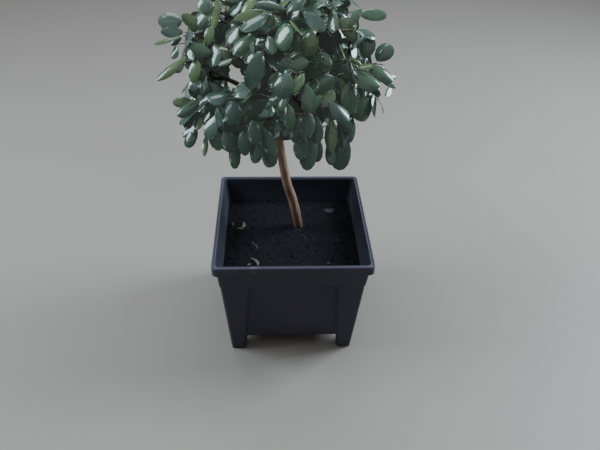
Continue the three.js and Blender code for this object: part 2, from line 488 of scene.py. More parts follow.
def make_planter_mesh():
    """One closed moulding: the lofted shell, its floor, and four corner legs of L section."""
    bm = bmesh.new()
    rings = []
    for z, half, corner, recess in shell_profile():
        points = plan_ring(z, half, corner, leg_gap(min(z, FASCIA_FOOT)), recess)
        rings.append([bm.verts.new(point) for point in points])
    count = len(rings[0])
    for lower, upper in zip(rings, rings[1:]):
        for i in range(count):
            after = (i + 1) % count
            bm.faces.new((lower[i], lower[after], upper[after], upper[i]))
    bm.faces.new(rings[-1])
    add_legs(bm, rings[0])
    bmesh.ops.remove_doubles(bm, verts=bm.verts, dist=WELD)
    bmesh.ops.recalc_face_normals(bm, faces=bm.faces)
    return mesh_from(bm, "planter_moulding")


def add_legs(bm, skirt):
    """The legs below the skirt and the flat underside between them."""
    per_side = len(skirt) // 4
    panel_start = CORNER_STEPS + 2
    panel_end = panel_start + PANEL_STEPS
    underside = []
    for quarter in range(4):
        begin = quarter * per_side
        steps = range(per_side - PANEL_STEPS + 1)
        run = [(begin + panel_end + step - per_side) % len(skirt) for step in steps]
        add_leg(bm, skirt, run, quarter, underside)
        underside += [skirt[begin + i] for i in range(panel_start, panel_end + 1)]
    bm.faces.new(list(reversed(underside)))


def add_leg(bm, skirt, run, quarter, underside):
    """One leg: the skirt's outline round a corner, carried down to the floor, with a flat inside."""
    turn = Matrix.Rotation(quarter * math.pi / 2, 3, "Z")
    outer = [skirt[i] for i in run]
    back = leg_half(SKIRT) - PANEL_RECESS
    inner = bm.verts.new(POT + turn @ Vector((-back, -back, SKIRT)))
    underside.append(inner)
    for z in LEG_RINGS:
        ease = FOOT_EASE if z == 0 else 0
        whole = plan_ring(z, leg_half(z) - ease, BODY_CORNER - ease, leg_gap(z), PANEL_RECESS - ease)
        next_outer = [bm.verts.new(whole[i]) for i in run]
        back = leg_half(z) - PANEL_RECESS
        next_inner = bm.verts.new(POT + turn @ Vector((-back, -back, z)))
        for i in range(len(run) - 1):
            bm.faces.new((outer[i], next_outer[i], next_outer[i + 1], outer[i + 1]))
        bm.faces.new((outer[-1], next_outer[-1], next_inner, inner))
        bm.faces.new((inner, next_inner, next_outer[0], outer[0]))
        outer, inner = next_outer, next_inner
    bm.faces.new([inner] + list(reversed(outer)))


def finish_plastic():
    """Dark moulded plastic: a fine matt grain, a little dust, a dull smear, and painted shade on the rougher
    inner walls.
    """
    finish = Finish("moulded_anthracite", Specular_IOR_Level=0.24, IOR=1.46)
    specks = finish.mottle(38, 5, 0.65)
    wiped = finish.mottle(9, 3)
    normal = finish.add("ShaderNodeNewGeometry", out="Normal")
    dust = finish.part(normal, "Z").within(0.3, 1.0) * specks.within(0.35, 0.75)
    from_middle = finish.vectors("SUBTRACT", finish.place(), tuple(POT))
    outward = finish.vectors("MULTIPLY", from_middle, (1, 1, 0))
    inside = 1 - finish.vectors("DOT_PRODUCT", normal, outward, out="Value").within(-0.1, -0.02)
    from_smear = finish.vectors("DISTANCE", finish.place(), tuple(POT + SMEAR_PLACE), out="Value")
    smear = (1 - from_smear.within(4 * MM, SMEAR_REACH)) * finish.mottle(210, 4, 0.7).within(0.42, 0.66)
    tone = finish.blend(wiped.within(0.3, 0.7), PLASTIC, WORN_PLASTIC)
    tone = finish.blend(dust * 0.1, tone, DUST)
    # Painted shade: the inner walls darkened.
    tone = finish.blend(inside * 0.7, tone, INNER_WALL_PAINTED_SHADE)
    finish.drive("Base Color", finish.blend(smear * 0.7, tone, DULL_SMEAR))
    finish.drive("Roughness", 0.5 + wiped * 0.14 + inside * 0.3 + smear * 0.3)
    grain = finish.mottle(1500, 2) * 0.5 + finish.mottle(260, 2) * 0.5
    finish.drive("Normal", finish.relief(grain, 0.12 * MM))
    return finish.material


def make_planter():
    """The planter's moulding, with its edges rounded."""
    mesh = make_planter_mesh()
    mesh.materials.append(finish_plastic())
    carrier = add_piece("planter_start", mesh)
    bevel = carrier.modifiers.new("rounded_edges", "BEVEL")
    bevel.width = EDGE_ROUNDING
    bevel.segments = 2
    bevel.limit_method = "ANGLE"
    bevel.angle_limit = math.radians(28)
    planter = add_piece("planter_shell", worked_mesh(carrier))
    smooth(planter.data, 30)
    settle(planter, "planter", "planter")


# Compost


COMPOST_HALF = 141.0 * MM
COMPOST_FOOT = FASCIA_FOOT + 0.5 * MM
COMPOST_STEPS = 150
COMPOST_CORNER = 7 * MM

# It sinks towards the walls, and is heaped up at the trunk.
SINK_DEPTH = 2.6 * MM
SINK_REACH = 110 * MM
HEAP_HEIGHT = 2.2 * MM
HEAP_REACH = 20 * MM

# How high its swells, clods and lumps are, and how many of each there are to a metre.
SWELL_HEIGHT = 2.4 * MM
SWELLS_PER_METRE = 22
CLOD_HEIGHT = 1.5 * MM
CLODS_PER_METRE = 90
LUMP_HEIGHT = 1.3 * MM
LUMPS_PER_METRE = 210
CRUMB_UNEVENNESS = 0.55

DARK_PEAT = (0.0034, 0.0027, 0.005)
BROWN_PEAT = (0.0075, 0.0052, 0.006)
PALE_WOOD = (0.11, 0.092, 0.08)
GREY_GRIT = (0.019, 0.0185, 0.024)
ROOT_BARK = (0.036, 0.03, 0.032)
WOOD_FIBRE = (0.03, 0.02, 0.016)


def compost_height(x, y):
    """The compost's surface: heaped at the trunk, sinking to the walls, lumpy all over."""
    away = math.hypot(x - TRUNK_FOOT.x, y - TRUNK_FOOT.y)
    height = GROUND - SINK_DEPTH * min(1, away / SINK_REACH)
    height += HEAP_HEIGHT * math.exp(-(away / HEAP_REACH) ** 2)
    where = Vector((x, y, 0))
    height += SWELL_HEIGHT * noise.noise(where * SWELLS_PER_METRE)
    height += CLOD_HEIGHT * noise.fractal(where * CLODS_PER_METRE, 0.8, 2.1, 4)
    lump = noise.noise(where * LUMPS_PER_METRE + Vector((3, 7, 1)))
    return height + LUMP_HEIGHT * max(0, lump) ** 1.3


def square_to_rounded(u, v, half, corner):
    """Pulls a point of a square inside the square's rounded corners."""
    x, y = u * half, v * half
    edge = half - corner
    beyond = Vector((abs(x) - edge, abs(y) - edge))
    if min(beyond) > 0:
        reach = max(beyond)
        pulled = beyond.normalized() * reach
        x = math.copysign(edge + pulled.x, x)
        y = math.copysign(edge + pulled.y, y)
    return x, y


def make_compost():
    """The compost's rough top, closed by a skirt and a flat underside just above the ledge."""
    steps = COMPOST_STEPS
    bm = bmesh.new()
    grid = []
    for row in range(steps + 1):
        line = []
        for column in range(steps + 1):
            u, v = 2 * column / steps - 1, 2 * row / steps - 1
            x, y = square_to_rounded(u, v, COMPOST_HALF, COMPOST_CORNER)
            x, y = x + POT.x, y + POT.y
            line.append(bm.verts.new((x, y, compost_height(x, y))))
        grid.append(line)
    for near, far in zip(grid, grid[1:]):
        for column in range(steps):
            bm.faces.new((near[column], near[column + 1], far[column + 1], far[column]))
    border = grid[0][:-1] + [line[-1] for line in grid[:-1]]
    border += list(reversed(grid[-1][1:])) + [line[0] for line in reversed(grid[1:])]
    foot = [bm.verts.new((vert.co.x, vert.co.y, COMPOST_FOOT)) for vert in border]
    for i, vert in enumerate(border):
        after = (i + 1) % len(border)
        bm.faces.new((vert, foot[i], foot[after], border[after]))
    bm.faces.new(list(reversed(foot)))
    bmesh.ops.recalc_face_normals(bm, faces=bm.faces)
    surface = add_piece("compost_surface", mesh_from(bm, "compost_surface"))
    smooth(surface.data, 50)
    surface.data.materials.append(finish_compost("damp_compost", 1.0))
    settle(surface, "compost", "compost")
    make_crumbs(surface.data)
    make_litter()


def finish_compost(name, tone):
    """Damp peat: nearly black, browner on its lumps, and duller in places."""
    finish = Finish(name, Specular_IOR_Level=0.12)
    lumps = finish.mottle(120, 5, 0.7)
    damp = finish.mottle(16, 3)
    colour = finish.blend(lumps.within(0.42, 0.75), toned(DARK_PEAT, tone), toned(BROWN_PEAT, tone))
    finish.drive("Base Color", colour)
    finish.drive("Roughness", 0.72 + damp * 0.25)
    finish.drive("Normal", finish.relief(finish.mottle(700, 4, 0.7), 0.5 * MM))
    return finish.material


def crumb_shapes(name, count, length, height, seed):
    """A collection of small uneven lumps, one metre across before they are stretched and scaled."""
    shapes = bpy.data.collections.new(name)
    for number in range(count):
        bm = bmesh.new()
        bmesh.ops.create_icosphere(bm, subdivisions=1, radius=0.5)
        for vert in bm.verts:
            bump = noise.noise(vert.co * 3.1 + Vector((seed, number * 5.3, 1)))
            vert.co *= 1 + CRUMB_UNEVENNESS * bump
            vert.co.x *= length
            vert.co.z *= height
        label = f"{name}_{number}"
        shapes.objects.link(bpy.data.objects.new(label, mesh_from(bm, label)))
    return shapes


def scatter_recipe():
    """Scatters shapes over the faces that look up, each turned and sized at random."""
    recipe = Recipe(
        "scatter", Shapes="shapes", Density="number", Smallest="number", Largest="number",
        Seed="count", Finish="material",
    )
    seed, smallest = recipe.given("Seed"), recipe.given("Smallest")
    up = recipe.part(recipe.add("GeometryNodeInputNormal"), "Z")
    looks_up = recipe.add("FunctionNodeCompare", {"operation": "GREATER_THAN"}, {0: up, 1: 0.5})
    sockets = {
        "Mesh": recipe.given(), "Selection": looks_up, "Density": recipe.given("Density"), "Seed": seed,
    }
    points = recipe.add("GeometryNodeDistributePointsOnFaces", None, sockets, "Points")
    sockets = {"Min": (0, 0, 0), "Max": (math.tau, math.tau, math.tau), "Seed": seed}
    turn = recipe.add("FunctionNodeRandomValue", {"data_type": "FLOAT_VECTOR"}, sockets)
    chance = recipe.add("FunctionNodeRandomValue", None, {2: 0.0, 3: 1.0, "Seed": seed + 1}, out=1)
    size = smallest + (recipe.given("Largest") - smallest) * chance ** 3
    sockets = {4: 0, 5: 99, "Seed": seed + 2}
    which = recipe.add("FunctionNodeRandomValue", {"data_type": "INT"}, sockets, out=2)
    crumbs = recipe.realize(recipe.set_out(points, which, turn, size))
    recipe.end_with(recipe.coat(crumbs, "Finish"))
    return recipe


def make_crumbs(surface):
    """Crumbs of peat and wood fibres, strewn over the compost."""
    recipe = scatter_recipe()
    peat = crumb_shapes("peat_crumb", count=6, length=1.3, height=0.7, seed=2)
    fibre = crumb_shapes("wood_fibre", count=4, length=5.0, height=0.5, seed=9)
    crumbs = recipe.make(
        "compost_crumbs", surface, Shapes=peat, Density=26000, Smallest=0.8 * MM, Largest=5 * MM, Seed=4,
        Finish=finish_compost("peat_crumbs", 1.2),
    )
    fibres = recipe.make(
        "compost_fibres", surface, Shapes=fibre, Density=2200, Smallest=0.4 * MM, Largest=1.7 * MM, Seed=8,
        Finish=finish_wood_bit("wood_fibres", WOOD_FIBRE),
    )
    settle(crumbs, "compost")
    settle(fibres, "compost")


# What lies on the compost in the photo, each by its middle in mm from the planter's middle, its
# length, width and thickness in mm, and its turn in degrees.
CHIPS = {
    "curved chip at the left": (-108, 44, 26, 7, 2.6, 84),
    "chip under it": (-113, 33, 13, 6, 2.4, 165),
    "front chip": (-76, -78, 24, 7, 2.6, 118),
    "front chip, upper": (-82, -68, 12, 4, 2, 150),
    "front crumb": (-90, -82, 9, 5, 2.5, 30),
}
STONES = {
    "chip beside the curved one": (-131, 50, 14, 7, 2.2, 100),
    "middle chip": (-77, -27, 17, 5, 2.2, 114),
    "middle crumb": (-84, -17, 9, 5, 2, 60),
    "grey patch at the back": (92, 100, 26, 20, 3, 8),
    "white speck": (45, 41, 5, 4, 3, 0),
    "small speck": (50, -7, 4, 3, 2, 0),
    "right front speck": (75, -81, 9, 6, 3, 15),
}
ROOTS = {
    "root by the trunk": (16, 23, 11, 2.5, 2, 150),
    "root in front": (23, 7, 9, 2.5, 2, 35),
    "root right of it": (31, 0, 8, 2.5, 2, 100),
    "reddish bit": (99, -7, 8, 3.5, 2, 20),
}

# How far their ends bow aside, how uneven they are, and how much of their thickness their middle stands
# above the compost.
CHIP_BOW = 0.16
CHIP_UNEVENNESS = 0.35
RAISED_SHARE = 0.35


def make_litter():
    """The pale chips, specks and root ends that lie on the compost."""
    kinds = (
        ("wood_chips", CHIPS, finish_wood_bit("pale_wood", PALE_WOOD)),
        ("grit", STONES, finish_wood_bit("grey_grit", GREY_GRIT)),
        ("root_ends", ROOTS, finish_wood_bit("root_bark", ROOT_BARK)),
    )
    for name, bits, material in kinds:
        bm = bmesh.new()
        for x, y, length, width, thickness, turn in bits.values():
            middle = POT + Vector((x, y, 0)) * MM
            middle.z = compost_height(middle.x, middle.y) + thickness * RAISED_SHARE * MM
            made = bmesh.ops.create_icosphere(bm, subdivisions=2, radius=0.5)
            spin = Matrix.Rotation(math.radians(turn), 3, "Z")
            for vert in made["verts"]:
                rough = 1 + CHIP_UNEVENNESS * noise.noise(vert.co * 3 + middle * 90)
                along, across, up = vert.co * rough
                bow = CHIP_BOW * length * (4 * along * along - 1)
                vert.co = middle + spin @ Vector((along * length, across * width + bow, up * thickness)) * MM
        mesh = mesh_from(bm, name)
        mesh.shade_smooth()
        mesh.materials.append(material)
        settle(add_piece(name, mesh), "compost")


def finish_wood_bit(name, colour):
    """Dull dry wood, streaked and uneven."""
    finish = Finish(name, Roughness=0.85)
    streak = finish.mottle(300, 4, 0.6)
    finish.drive("Base Color", finish.blend(streak.within(0.3, 0.7), toned(colour, 0.35), colour))
    finish.drive("Normal", finish.relief(finish.mottle(900, 3), 0.3 * MM))
    return finish.material


# Wood: the trunk, the leader and boughs, and the twigs that grow on from them


TAN = (0.315, 0.188, 0.135)
TAN_SHADED = (0.16, 0.086, 0.06)
TAN_PATCH = (0.13, 0.071, 0.05)
# The paler tan high up is painted light for the trunk under the crown.
TAN_PAINTED_LIGHT = (0.46, 0.31, 0.225)
PALE_PORE = (0.39, 0.27, 0.2)
DARK_FOOT = (0.048, 0.024, 0.019)
YOUNG_WOOD = (0.13, 0.11, 0.065)


class Limbs:
    """Lines with a girth at each point, gathered to be made into wood together."""

    def __init__(self):
        self.points = []
        self.girths = []
        self.edges = []

    def add(self, points, girths):
        """One more line."""
        first = len(self.points)
        self.points += [tuple(point) for point in points]
        self.girths += list(girths)
        self.edges += [(first + i, first + i + 1) for i in range(len(points) - 1)]

    def mesh(self, name):
        """All the lines as one mesh of edges, with the girth as an attribute."""
        mesh = bpy.data.meshes.new(name)
        mesh.from_pydata(self.points, self.edges, [])
        girth = mesh.attributes.new("girth", "FLOAT", "POINT")
        girth.data.foreach_set("value", self.girths)
        return mesh


def wood_recipe():
    """Sweeps a round section along every line, as thick as its girth, and roughens the bark."""
    recipe = Recipe("wood", Sides="count", Relief="number", Grain="number", Finish="material")
    lines = recipe.add("GeometryNodeMeshToCurve", None, {0: recipe.given()})
    sockets = {"Resolution": recipe.given("Sides"), "Radius": 1.0}
    section = recipe.add("GeometryNodeCurvePrimitiveCircle", None, sockets)
    sockets = {"Curve": lines, "Profile Curve": section, "Scale": recipe.named("girth"), "Fill Caps": True}
    swept = recipe.add("GeometryNodeCurveToMesh", None, sockets)
    stretched = recipe.vectors("MULTIPLY", recipe.add("GeometryNodeInputPosition"), (1.0, 1.0, 0.22))
    sockets = {"Vector": stretched, "Scale": recipe.given("Grain"), "Detail": 4.0, "Roughness": 0.6}
    grain = recipe.add("ShaderNodeTexNoise", None, sockets)
    sockets = {0: recipe.add("GeometryNodeInputNormal"), "Scale": (grain - 0.5) * recipe.given("Relief")}
    offset = recipe.add("ShaderNodeVectorMath", {"operation": "SCALE"}, sockets)
    rough = recipe.add("GeometryNodeSetPosition", None, {0: swept, "Offset": offset})
    shaded = recipe.add("GeometryNodeSetShadeSmooth", None, {0: rough})
    recipe.end_with(recipe.coat(recipe.realize(shaded), "Finish"))
    return recipe


def smooth_line(points, girths, steps):
    """A rounder line through the same points, with its girth worked out between them."""
    line, widths = [], []
    count = len(points)
    for i in range(count - 1):
        before, start, end, after = (points[max(0, min(count - 1, i + k))] for k in (-1, 0, 1, 2))
        for step in range(steps):
            t = step / steps
            pull = (
                2 * start + (end - before) * t + (2 * before - 5 * start + 4 * end - after) * t ** 2
                + (3 * start - before - 3 * end + after) * t ** 3
            )
            line.append(pull / 2)
            widths.append(girths[i] + (girths[i + 1] - girths[i]) * t)
    return line + [points[-1]], widths + [girths[-1]]


def finish_bark():
    """Tan young bark: darker at the foot, streaked along the stem, dotted with pale pores, and with painted
    light making it paler high up under the crown.
    """
    finish = Finish("tan_bark", Specular_IOR_Level=0.35)
    along = finish.place((1, 1, 0.18))
    streak = finish.mottle(240, 4, 0.6, along)
    patch = finish.mottle(40, 3, 0.6)
    pores = finish.cells(330, finish.place((1, 1, 0.6)))
    height = finish.part(finish.place(), "Z")
    foot = 1 - height.within(GROUND - 10 * MM, GROUND + 70 * MM)
    painted_light_up = height.within(GROUND + 90 * MM, GROUND + 200 * MM)
    tone = finish.blend(streak.within(0.35, 0.68), TAN_SHADED, TAN)
    tone = finish.blend(patch.within(0.45, 0.75) * 0.6, tone, TAN_PATCH)
    tone = finish.blend((1 - pores.within(0.08, 0.2)) * 0.4, tone, PALE_PORE)
    # Painted light: paler bark high up, under the crown.
    tone = finish.blend(painted_light_up * 0.5, tone, TAN_PAINTED_LIGHT)
    finish.drive("Base Color", finish.blend(foot * 0.85, tone, DARK_FOOT))
    finish.drive("Roughness", 0.62 + streak * 0.25)
    ridge = streak * 0.7 + finish.mottle(900, 3, 0.6, along) * 0.3
    finish.drive("Normal", finish.relief(ridge, 0.8 * MM))
    return finish.material


def finish_twig():
    """Smooth green-brown young wood."""
    finish = Finish("green_brown_twigs", Roughness=0.6)
    patch = finish.mottle(90, 3)
    finish.drive("Base Color", finish.blend(patch.within(0.3, 0.7), toned(YOUNG_WOOD, 0.5), YOUNG_WOOD))
    finish.drive("Normal", finish.relief(finish.mottle(700, 2), 0.2 * MM))
    return finish.material


# Leaves


LEAF_SEED = 7
LEAF_ROWS = 8
LEAF_COLUMNS = 4

# All in shares of the leaf's length.
LEAF_THICKNESS = 0.008
STALK_END = 0.09
STALK_HALF_WIDTH = 0.014

# Side veins on each half of a leaf, and how far they slant towards the tip.
VEIN_COUNT = 9.5
VEIN_SLANT = 2.1

# The first shapes of each kind are flat ones, which mirror a light nearly whole.
FLAT_SHAPES = 2
FLAT_EASE = 0.5

# A faint painted glow on every leaf face, given as emission, which lifts the leaves' darkest shade.
PAINTED_GLOW = (0.84, 1.0, 0.94)
PAINTED_GLOW_STRENGTH = 0.021

# The ages of leaf: how wide the outline is and how drawn out its tip, how many shapes, the colours of
# blade and midrib, the roughness, and the gloss of the wax. The shade leaves are darker, duller copies
# that carry painted shade, and the inner leaves paler ones that carry painted light.
LEAF_AGES = {
    "old": (0.8, 0.52, 9, (0.0205, 0.0525, 0.0355), (0.062, 0.108, 0.066), 0.25, 1.0),
    "mid": (0.77, 0.54, 9, (0.0235, 0.0645, 0.03), (0.068, 0.12, 0.056), 0.26, 1.0),
    "fresh": (0.66, 0.6, 7, (0.046, 0.084, 0.0235), (0.09, 0.145, 0.045), 0.28, 1.0),
    # Painted shade: darker, duller leaves where the crown's shade falls.
    "shade": (0.73, 0.52, 7, (0.012, 0.029, 0.0185), (0.03, 0.055, 0.035), 0.4, 0.18),
    # Painted light: leaves inside the crown painted pale against its shade.
    "inner": (0.68, 0.55, 5, (0.15, 0.2, 0.19), (0.19, 0.25, 0.22), 0.5, 0.7),
    "young": (0.36, 0.66, 5, (0.095, 0.145, 0.045), (0.15, 0.21, 0.085), 0.3, 1.0),
}

# The undersides: the colours of blade and midrib.
UNDERSIDE = ((0.08, 0.105, 0.062), (0.13, 0.16, 0.095))
YOUNG_UNDERSIDE = ((0.105, 0.15, 0.06), (0.18, 0.24, 0.1))


def leaf_half_width(v, width, belly, tip):
    """Half a leaf's width at a share of its length: a thin stalk, then an oval outline."""
    if v <= STALK_END:
        return STALK_HALF_WIDTH
    t = (v - STALK_END) / (1 - STALK_END)
    peak = belly / (belly + tip)
    full = peak ** belly * (1 - peak) ** tip
    swell = (width / 2 - STALK_HALF_WIDTH) * t ** belly * max(0, 1 - t) ** tip / full
    return STALK_HALF_WIDTH + swell


def leaf_point(u, v, half, bend, fold, cup, wave, twist):
    """Where the upper face lies at u across, from -1 to 1, and v along, from 0 to 1."""
    lift = half * (fold * abs(u) - cup * u * u)
    lift += half * wave * math.sin(9 * v + 2 * u) * abs(u)
    lift += u * half * math.tan(twist * v)
    return Vector((u * half, v * (1 - 0.25 * bend * v), lift - bend * v ** 2.2))


def leaf_shape(name, width, belly, tip, **curl):
    """One closed leaf a metre long, lying along +Y with its upper face up."""
    rows, columns = LEAF_ROWS, LEAF_COLUMNS
    bm = bmesh.new()
    blade = [(1 - math.cos(math.pi * row / (rows - 1))) / 2 for row in range(1, rows)]
    stations = [0, STALK_END] + [STALK_END + (1 - STALK_END) * share for share in blade]
    upper, lower = [], []
    for v in stations:
        half = leaf_half_width(v, width, belly, tip)
        top, under = [], []
        for column in range(columns + 1):
            u = 2 * column / columns - 1
            point = leaf_point(u, v, half, **curl)
            top.append(bm.verts.new(point))
            edge = abs(u) == 1 or v in (0, stations[-1])
            under.append(top[-1] if edge else bm.verts.new(point - UP * LEAF_THICKNESS))
        upper.append(top)
        lower.append(under)
    uv_layer = bm.loops.layers.uv.new("UVMap")
    underside = bm.faces.layers.int.new("underside")
    for row in range(len(stations) - 1):
        for column in range(columns):
            corners = ((row, column), (row, column + 1), (row + 1, column + 1), (row + 1, column))
            for sheet, flip in ((upper, False), (lower, True)):
                order = list(reversed(corners)) if flip else corners
                face = bm.faces.new([sheet[i][j] for i, j in order])
                face[underside] = int(flip)
                face.smooth = True
                for loop, (i, j) in zip(face.loops, order):
                    loop[uv_layer].uv = (j / columns, stations[i])
    for edge in bm.edges:
        edge.smooth = len({face[underside] for face in edge.link_faces}) < 2
    return bpy.data.objects.new(name, mesh_from(bm, name))


def leaf_shapes(name, count, width, tip, seed):
    """A collection of leaves of one kind, each bent and cupped a little differently."""
    rng = random.Random(seed)
    shapes = bpy.data.collections.new(name)
    for number in range(count):
        ease = FLAT_EASE if number < FLAT_SHAPES else 1
        shape = leaf_shape(
            f"{name}_{number}",
            width=width * rng.uniform(0.9, 1.12),
            belly=rng.uniform(0.5, 0.66),
            tip=tip * rng.uniform(0.9, 1.12),
            bend=ease * rng.uniform(0.08, 0.42),
            fold=ease * rng.uniform(0.12, 0.3),
            cup=ease * rng.uniform(0.32, 0.68),
            wave=rng.uniform(0.0, 0.1),
            twist=ease * rng.uniform(-0.35, 0.35),
        )
        shapes.objects.link(shape)
    return shapes


def leaf_recipe():
    """Puts a leaf on every start point, turned and sized by the point's attributes."""
    recipe = Recipe("leafing", Shapes="shapes", Upper="material", Under="material")
    which, turn = recipe.named("shape", "INT"), recipe.named("turn", "QUATERNION")
    leaves = recipe.set_out(recipe.given(), which, turn, recipe.named("size", "FLOAT_VECTOR"))
    upper = recipe.coat(recipe.realize(leaves), "Upper")
    settings = {"data_type": "INT", "operation": "EQUAL"}
    under = recipe.add("FunctionNodeCompare", settings, {2: recipe.named("underside", "INT"), 3: 1})
    recipe.end_with(recipe.coat(upper, "Under", Selection=under))
    return recipe


def finish_leaf(name, colour, rib, roughness, gloss):
    """A leaf's glossy upper face: a pale midrib and sunken side veins on a waxy surface, with a faint painted
    glow.
    """
    finish = Finish(
        name, Specular_IOR_Level=0.12, IOR=1.45, Coat_Roughness=0.12, Coat_IOR=1.55,
        Emission_Color=(*PAINTED_GLOW, 1), Emission_Strength=PAINTED_GLOW_STRENGTH,
    )
    uv = finish.add("ShaderNodeTexCoord", out="UV")
    side = (finish.part(uv, "X") - 0.5).absolute() * 2
    midrib = 1 - side.within(0.015, 0.075)
    veins = ((finish.part(uv, "Y") * VEIN_COUNT - side * VEIN_SLANT) * math.tau).sine() * 0.5 + 0.5
    veins = veins ** 3 * side.within(0.03, 0.2)
    mottle = finish.mottle(45, 3)
    tone = finish.blend(mottle.within(0.3, 0.7), toned(colour, 0.72), colour)
    tone = finish.blend(veins * 0.16, tone, rib)
    finish.drive("Base Color", finish.blend(midrib * 0.3, tone, rib))
    finish.drive("Roughness", roughness + mottle * 0.12)
    finish.drive("Coat Weight", (mottle * 0.35 + 0.65) * gloss)
    height = 0.5 - veins * 0.5 - midrib * 0.8 + finish.mottle(150, 2) * 0.9
    finish.drive("Normal", finish.relief(height, 0.38 * MM))
    return finish.material


def finish_underside(name, colour, rib):
    """A leaf's matt underside: olive, with a raised paler midrib and a faint painted glow."""
    finish = Finish(
        name, Specular_IOR_Level=0.3, Emission_Color=(*PAINTED_GLOW, 1), Emission_Strength=PAINTED_GLOW_STRENGTH,
    )
    uv = finish.add("ShaderNodeTexCoord", out="UV")
    side = (finish.part(uv, "X") - 0.5).absolute() * 2
    midrib = 1 - side.within(0.02, 0.09)
    mottle = finish.mottle(60, 3)
    tone = finish.blend(mottle.within(0.3, 0.7), toned(colour, 0.8), colour)
    finish.drive("Base Color", finish.blend(midrib * 0.8, tone, rib))
    finish.drive("Roughness", 0.55 + mottle * 0.15)
    finish.drive("Normal", finish.relief(midrib + finish.mottle(300, 2) * 0.3, 0.5 * MM))
    return finish.material


class LeafKind:
    """Leaves of one age and colour, gathered as points to be made together."""

    def __init__(self, name, width, tip, count, upper, under):
        self.name = name
        self.width = width
        self.count = count
        self.shapes = leaf_shapes(name + "_shape", count, width, tip, LEAF_SEED + len(name))
        self.upper = upper
        self.under = under
        self.places = []
        self.turns = []
        self.sizes = []
        self.picks = []

    def add(self, place, along, face, length, rng, width=None, flat=False):
        """A leaf that starts at a place, points along a direction and turns its upper face to another."""
        spread = width / self.width if width else length
        along = along.normalized()
        across = along.cross(face)
        if across.length < 1e-4:
            across = along.orthogonal()
        across.normalize()
        normal = across.cross(along)
        turn = Matrix((across, along, normal)).transposed().to_quaternion()
        self.places.append(tuple(place))
        self.turns.append(tuple(turn))
        self.sizes.append((spread, length, min(spread, length)))
        self.picks.append(rng.randrange(FLAT_SHAPES if flat else self.count))

    def make(self, recipe):
        """All the leaves gathered, as one piece."""
        start = bpy.data.meshes.new(self.name + "_places")
        start.from_pydata(self.places, [], [])
        turns = start.attributes.new("turn", "QUATERNION", "POINT")
        turns.data.foreach_set("value", [part for turn in self.turns for part in turn])
        sizes = start.attributes.new("size", "FLOAT_VECTOR", "POINT")
        sizes.data.foreach_set("vector", [part for size in self.sizes for part in size])
        start.attributes.new("shape", "INT", "POINT").data.foreach_set("value", self.picks)
        return recipe.make(self.name, start, Shapes=self.shapes, Upper=self.upper, Under=self.under)


def make_leaf_kinds():
    """The ages of leaf, each with its own finish and shapes."""
    under = finish_underside("leaf_underside", *UNDERSIDE)
    young_under = finish_underside("young_leaf_underside", *YOUNG_UNDERSIDE)
    kinds = {}
    for age, (width, tip, count, *looks) in LEAF_AGES.items():
        upper = finish_leaf(age + "_leaf", *looks)
        below = young_under if age == "young" else under
        kinds[age] = LeafKind("leaves_" + age, width, tip, count, upper, below)
    return kinds


# Crown


# A distance from the crown's middle that is well outside it.
CROWN_REACH = 1.0


class Crown:
    """The outline that the foliage masses give, and the sprays that fill it."""

    def __init__(self):
        self.middle = CROWN_MIDDLE
        points, faces, self.owners = [], [], []
        for name in MASSES:
            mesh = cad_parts[name].data
            first = len(points)
            points += [vertex.co.copy() for vertex in mesh.vertices]
            for polygon in mesh.polygons:
                faces.append([first + i for i in polygon.vertices])
                self.owners.append(name)
        self.outline = BVHTree.FromPolygons(points, faces)

    def edge(self, direction):
        """Where the outline lies in a direction from the middle, and whose mass it is."""
        start = self.middle + direction * CROWN_REACH
        place, _, index, _ = self.outline.ray_cast(start, -direction)
        if place is None:
            return None, None
        return place, self.owners[index]

    def depth_at(self, view, pixel):
        """How far off the outline lies at a pixel, or beside it, the outline's edge."""
        _, edge_depth = view.seen_at(self.middle)
        ray = (view.through(pixel, 1) - view.place).normalized()
        place, _, _, _ = self.outline.ray_cast(view.place, ray)
        if place is None:
            return edge_depth
        return min(edge_depth, view.seen_at(place)[1])


# The seeded sprays
SPRAY_COUNT = 255
SPRAY_INSET = 26 * MM
SPRAY_SPREAD = 16 * MM
SPRAY_JITTER = 0.07
SPRAY_LEAVES = (9, 10, 10, 11, 12)
INNER_SPRAY_COUNT = 80
INNER_SPRAY_JITTER = 0.12
CROWN_SEED = 41

# Their leaves, counted from the tip of the twig: full grown from the fifth on, and the first ones often
# young. The tilts from the twig are in degrees.
LEAF_LENGTH = 44 * MM
LEAF_SPACING = 8 * MM
GROWN_NUMBER = 5
TENDER_LEAVES = 2
TENDER_SHARE = 0.6
YOUNG_TILT = 20
OPENING_TILT = 56
TILT_JITTER = 10

# Half a leaf's width as a share of its length, where it is tried against what the photo shows.
LEAF_HALF_WIDTH = 0.36

# Below this height most of the older leaves are of the dull shade kind, darkened with painted shade, because
# the crown shades them.
SHADE_HEIGHT = 440 * MM
SHADE_SHARE = 0.7

# The photo's own leaves: how far behind the outline they start, how far their tips rise towards the
# viewer, and how wide they may be. An edge leaf is one that is seen from its side.
LEAF_SINK = 15 * MM
LEAF_RISE = 10 * MM
STALK_SHARE = 0.1
LONGEST_STRETCH = 1.3
WIDEST_LEAF = 44 * MM
WIDEST_EDGE_LEAF = 26 * MM
COMPANION_COUNT = 6

# The two large lights that the leaves mirror, from the planter's middle, in metres.
LEFT_LIGHT = Vector((-2.0, 0.1, 2.0))
RIGHT_LIGHT = Vector((2.1, 0.6, 1.8))

# What the photo shows of the crown, in its pixels, right and down from its top left corner.

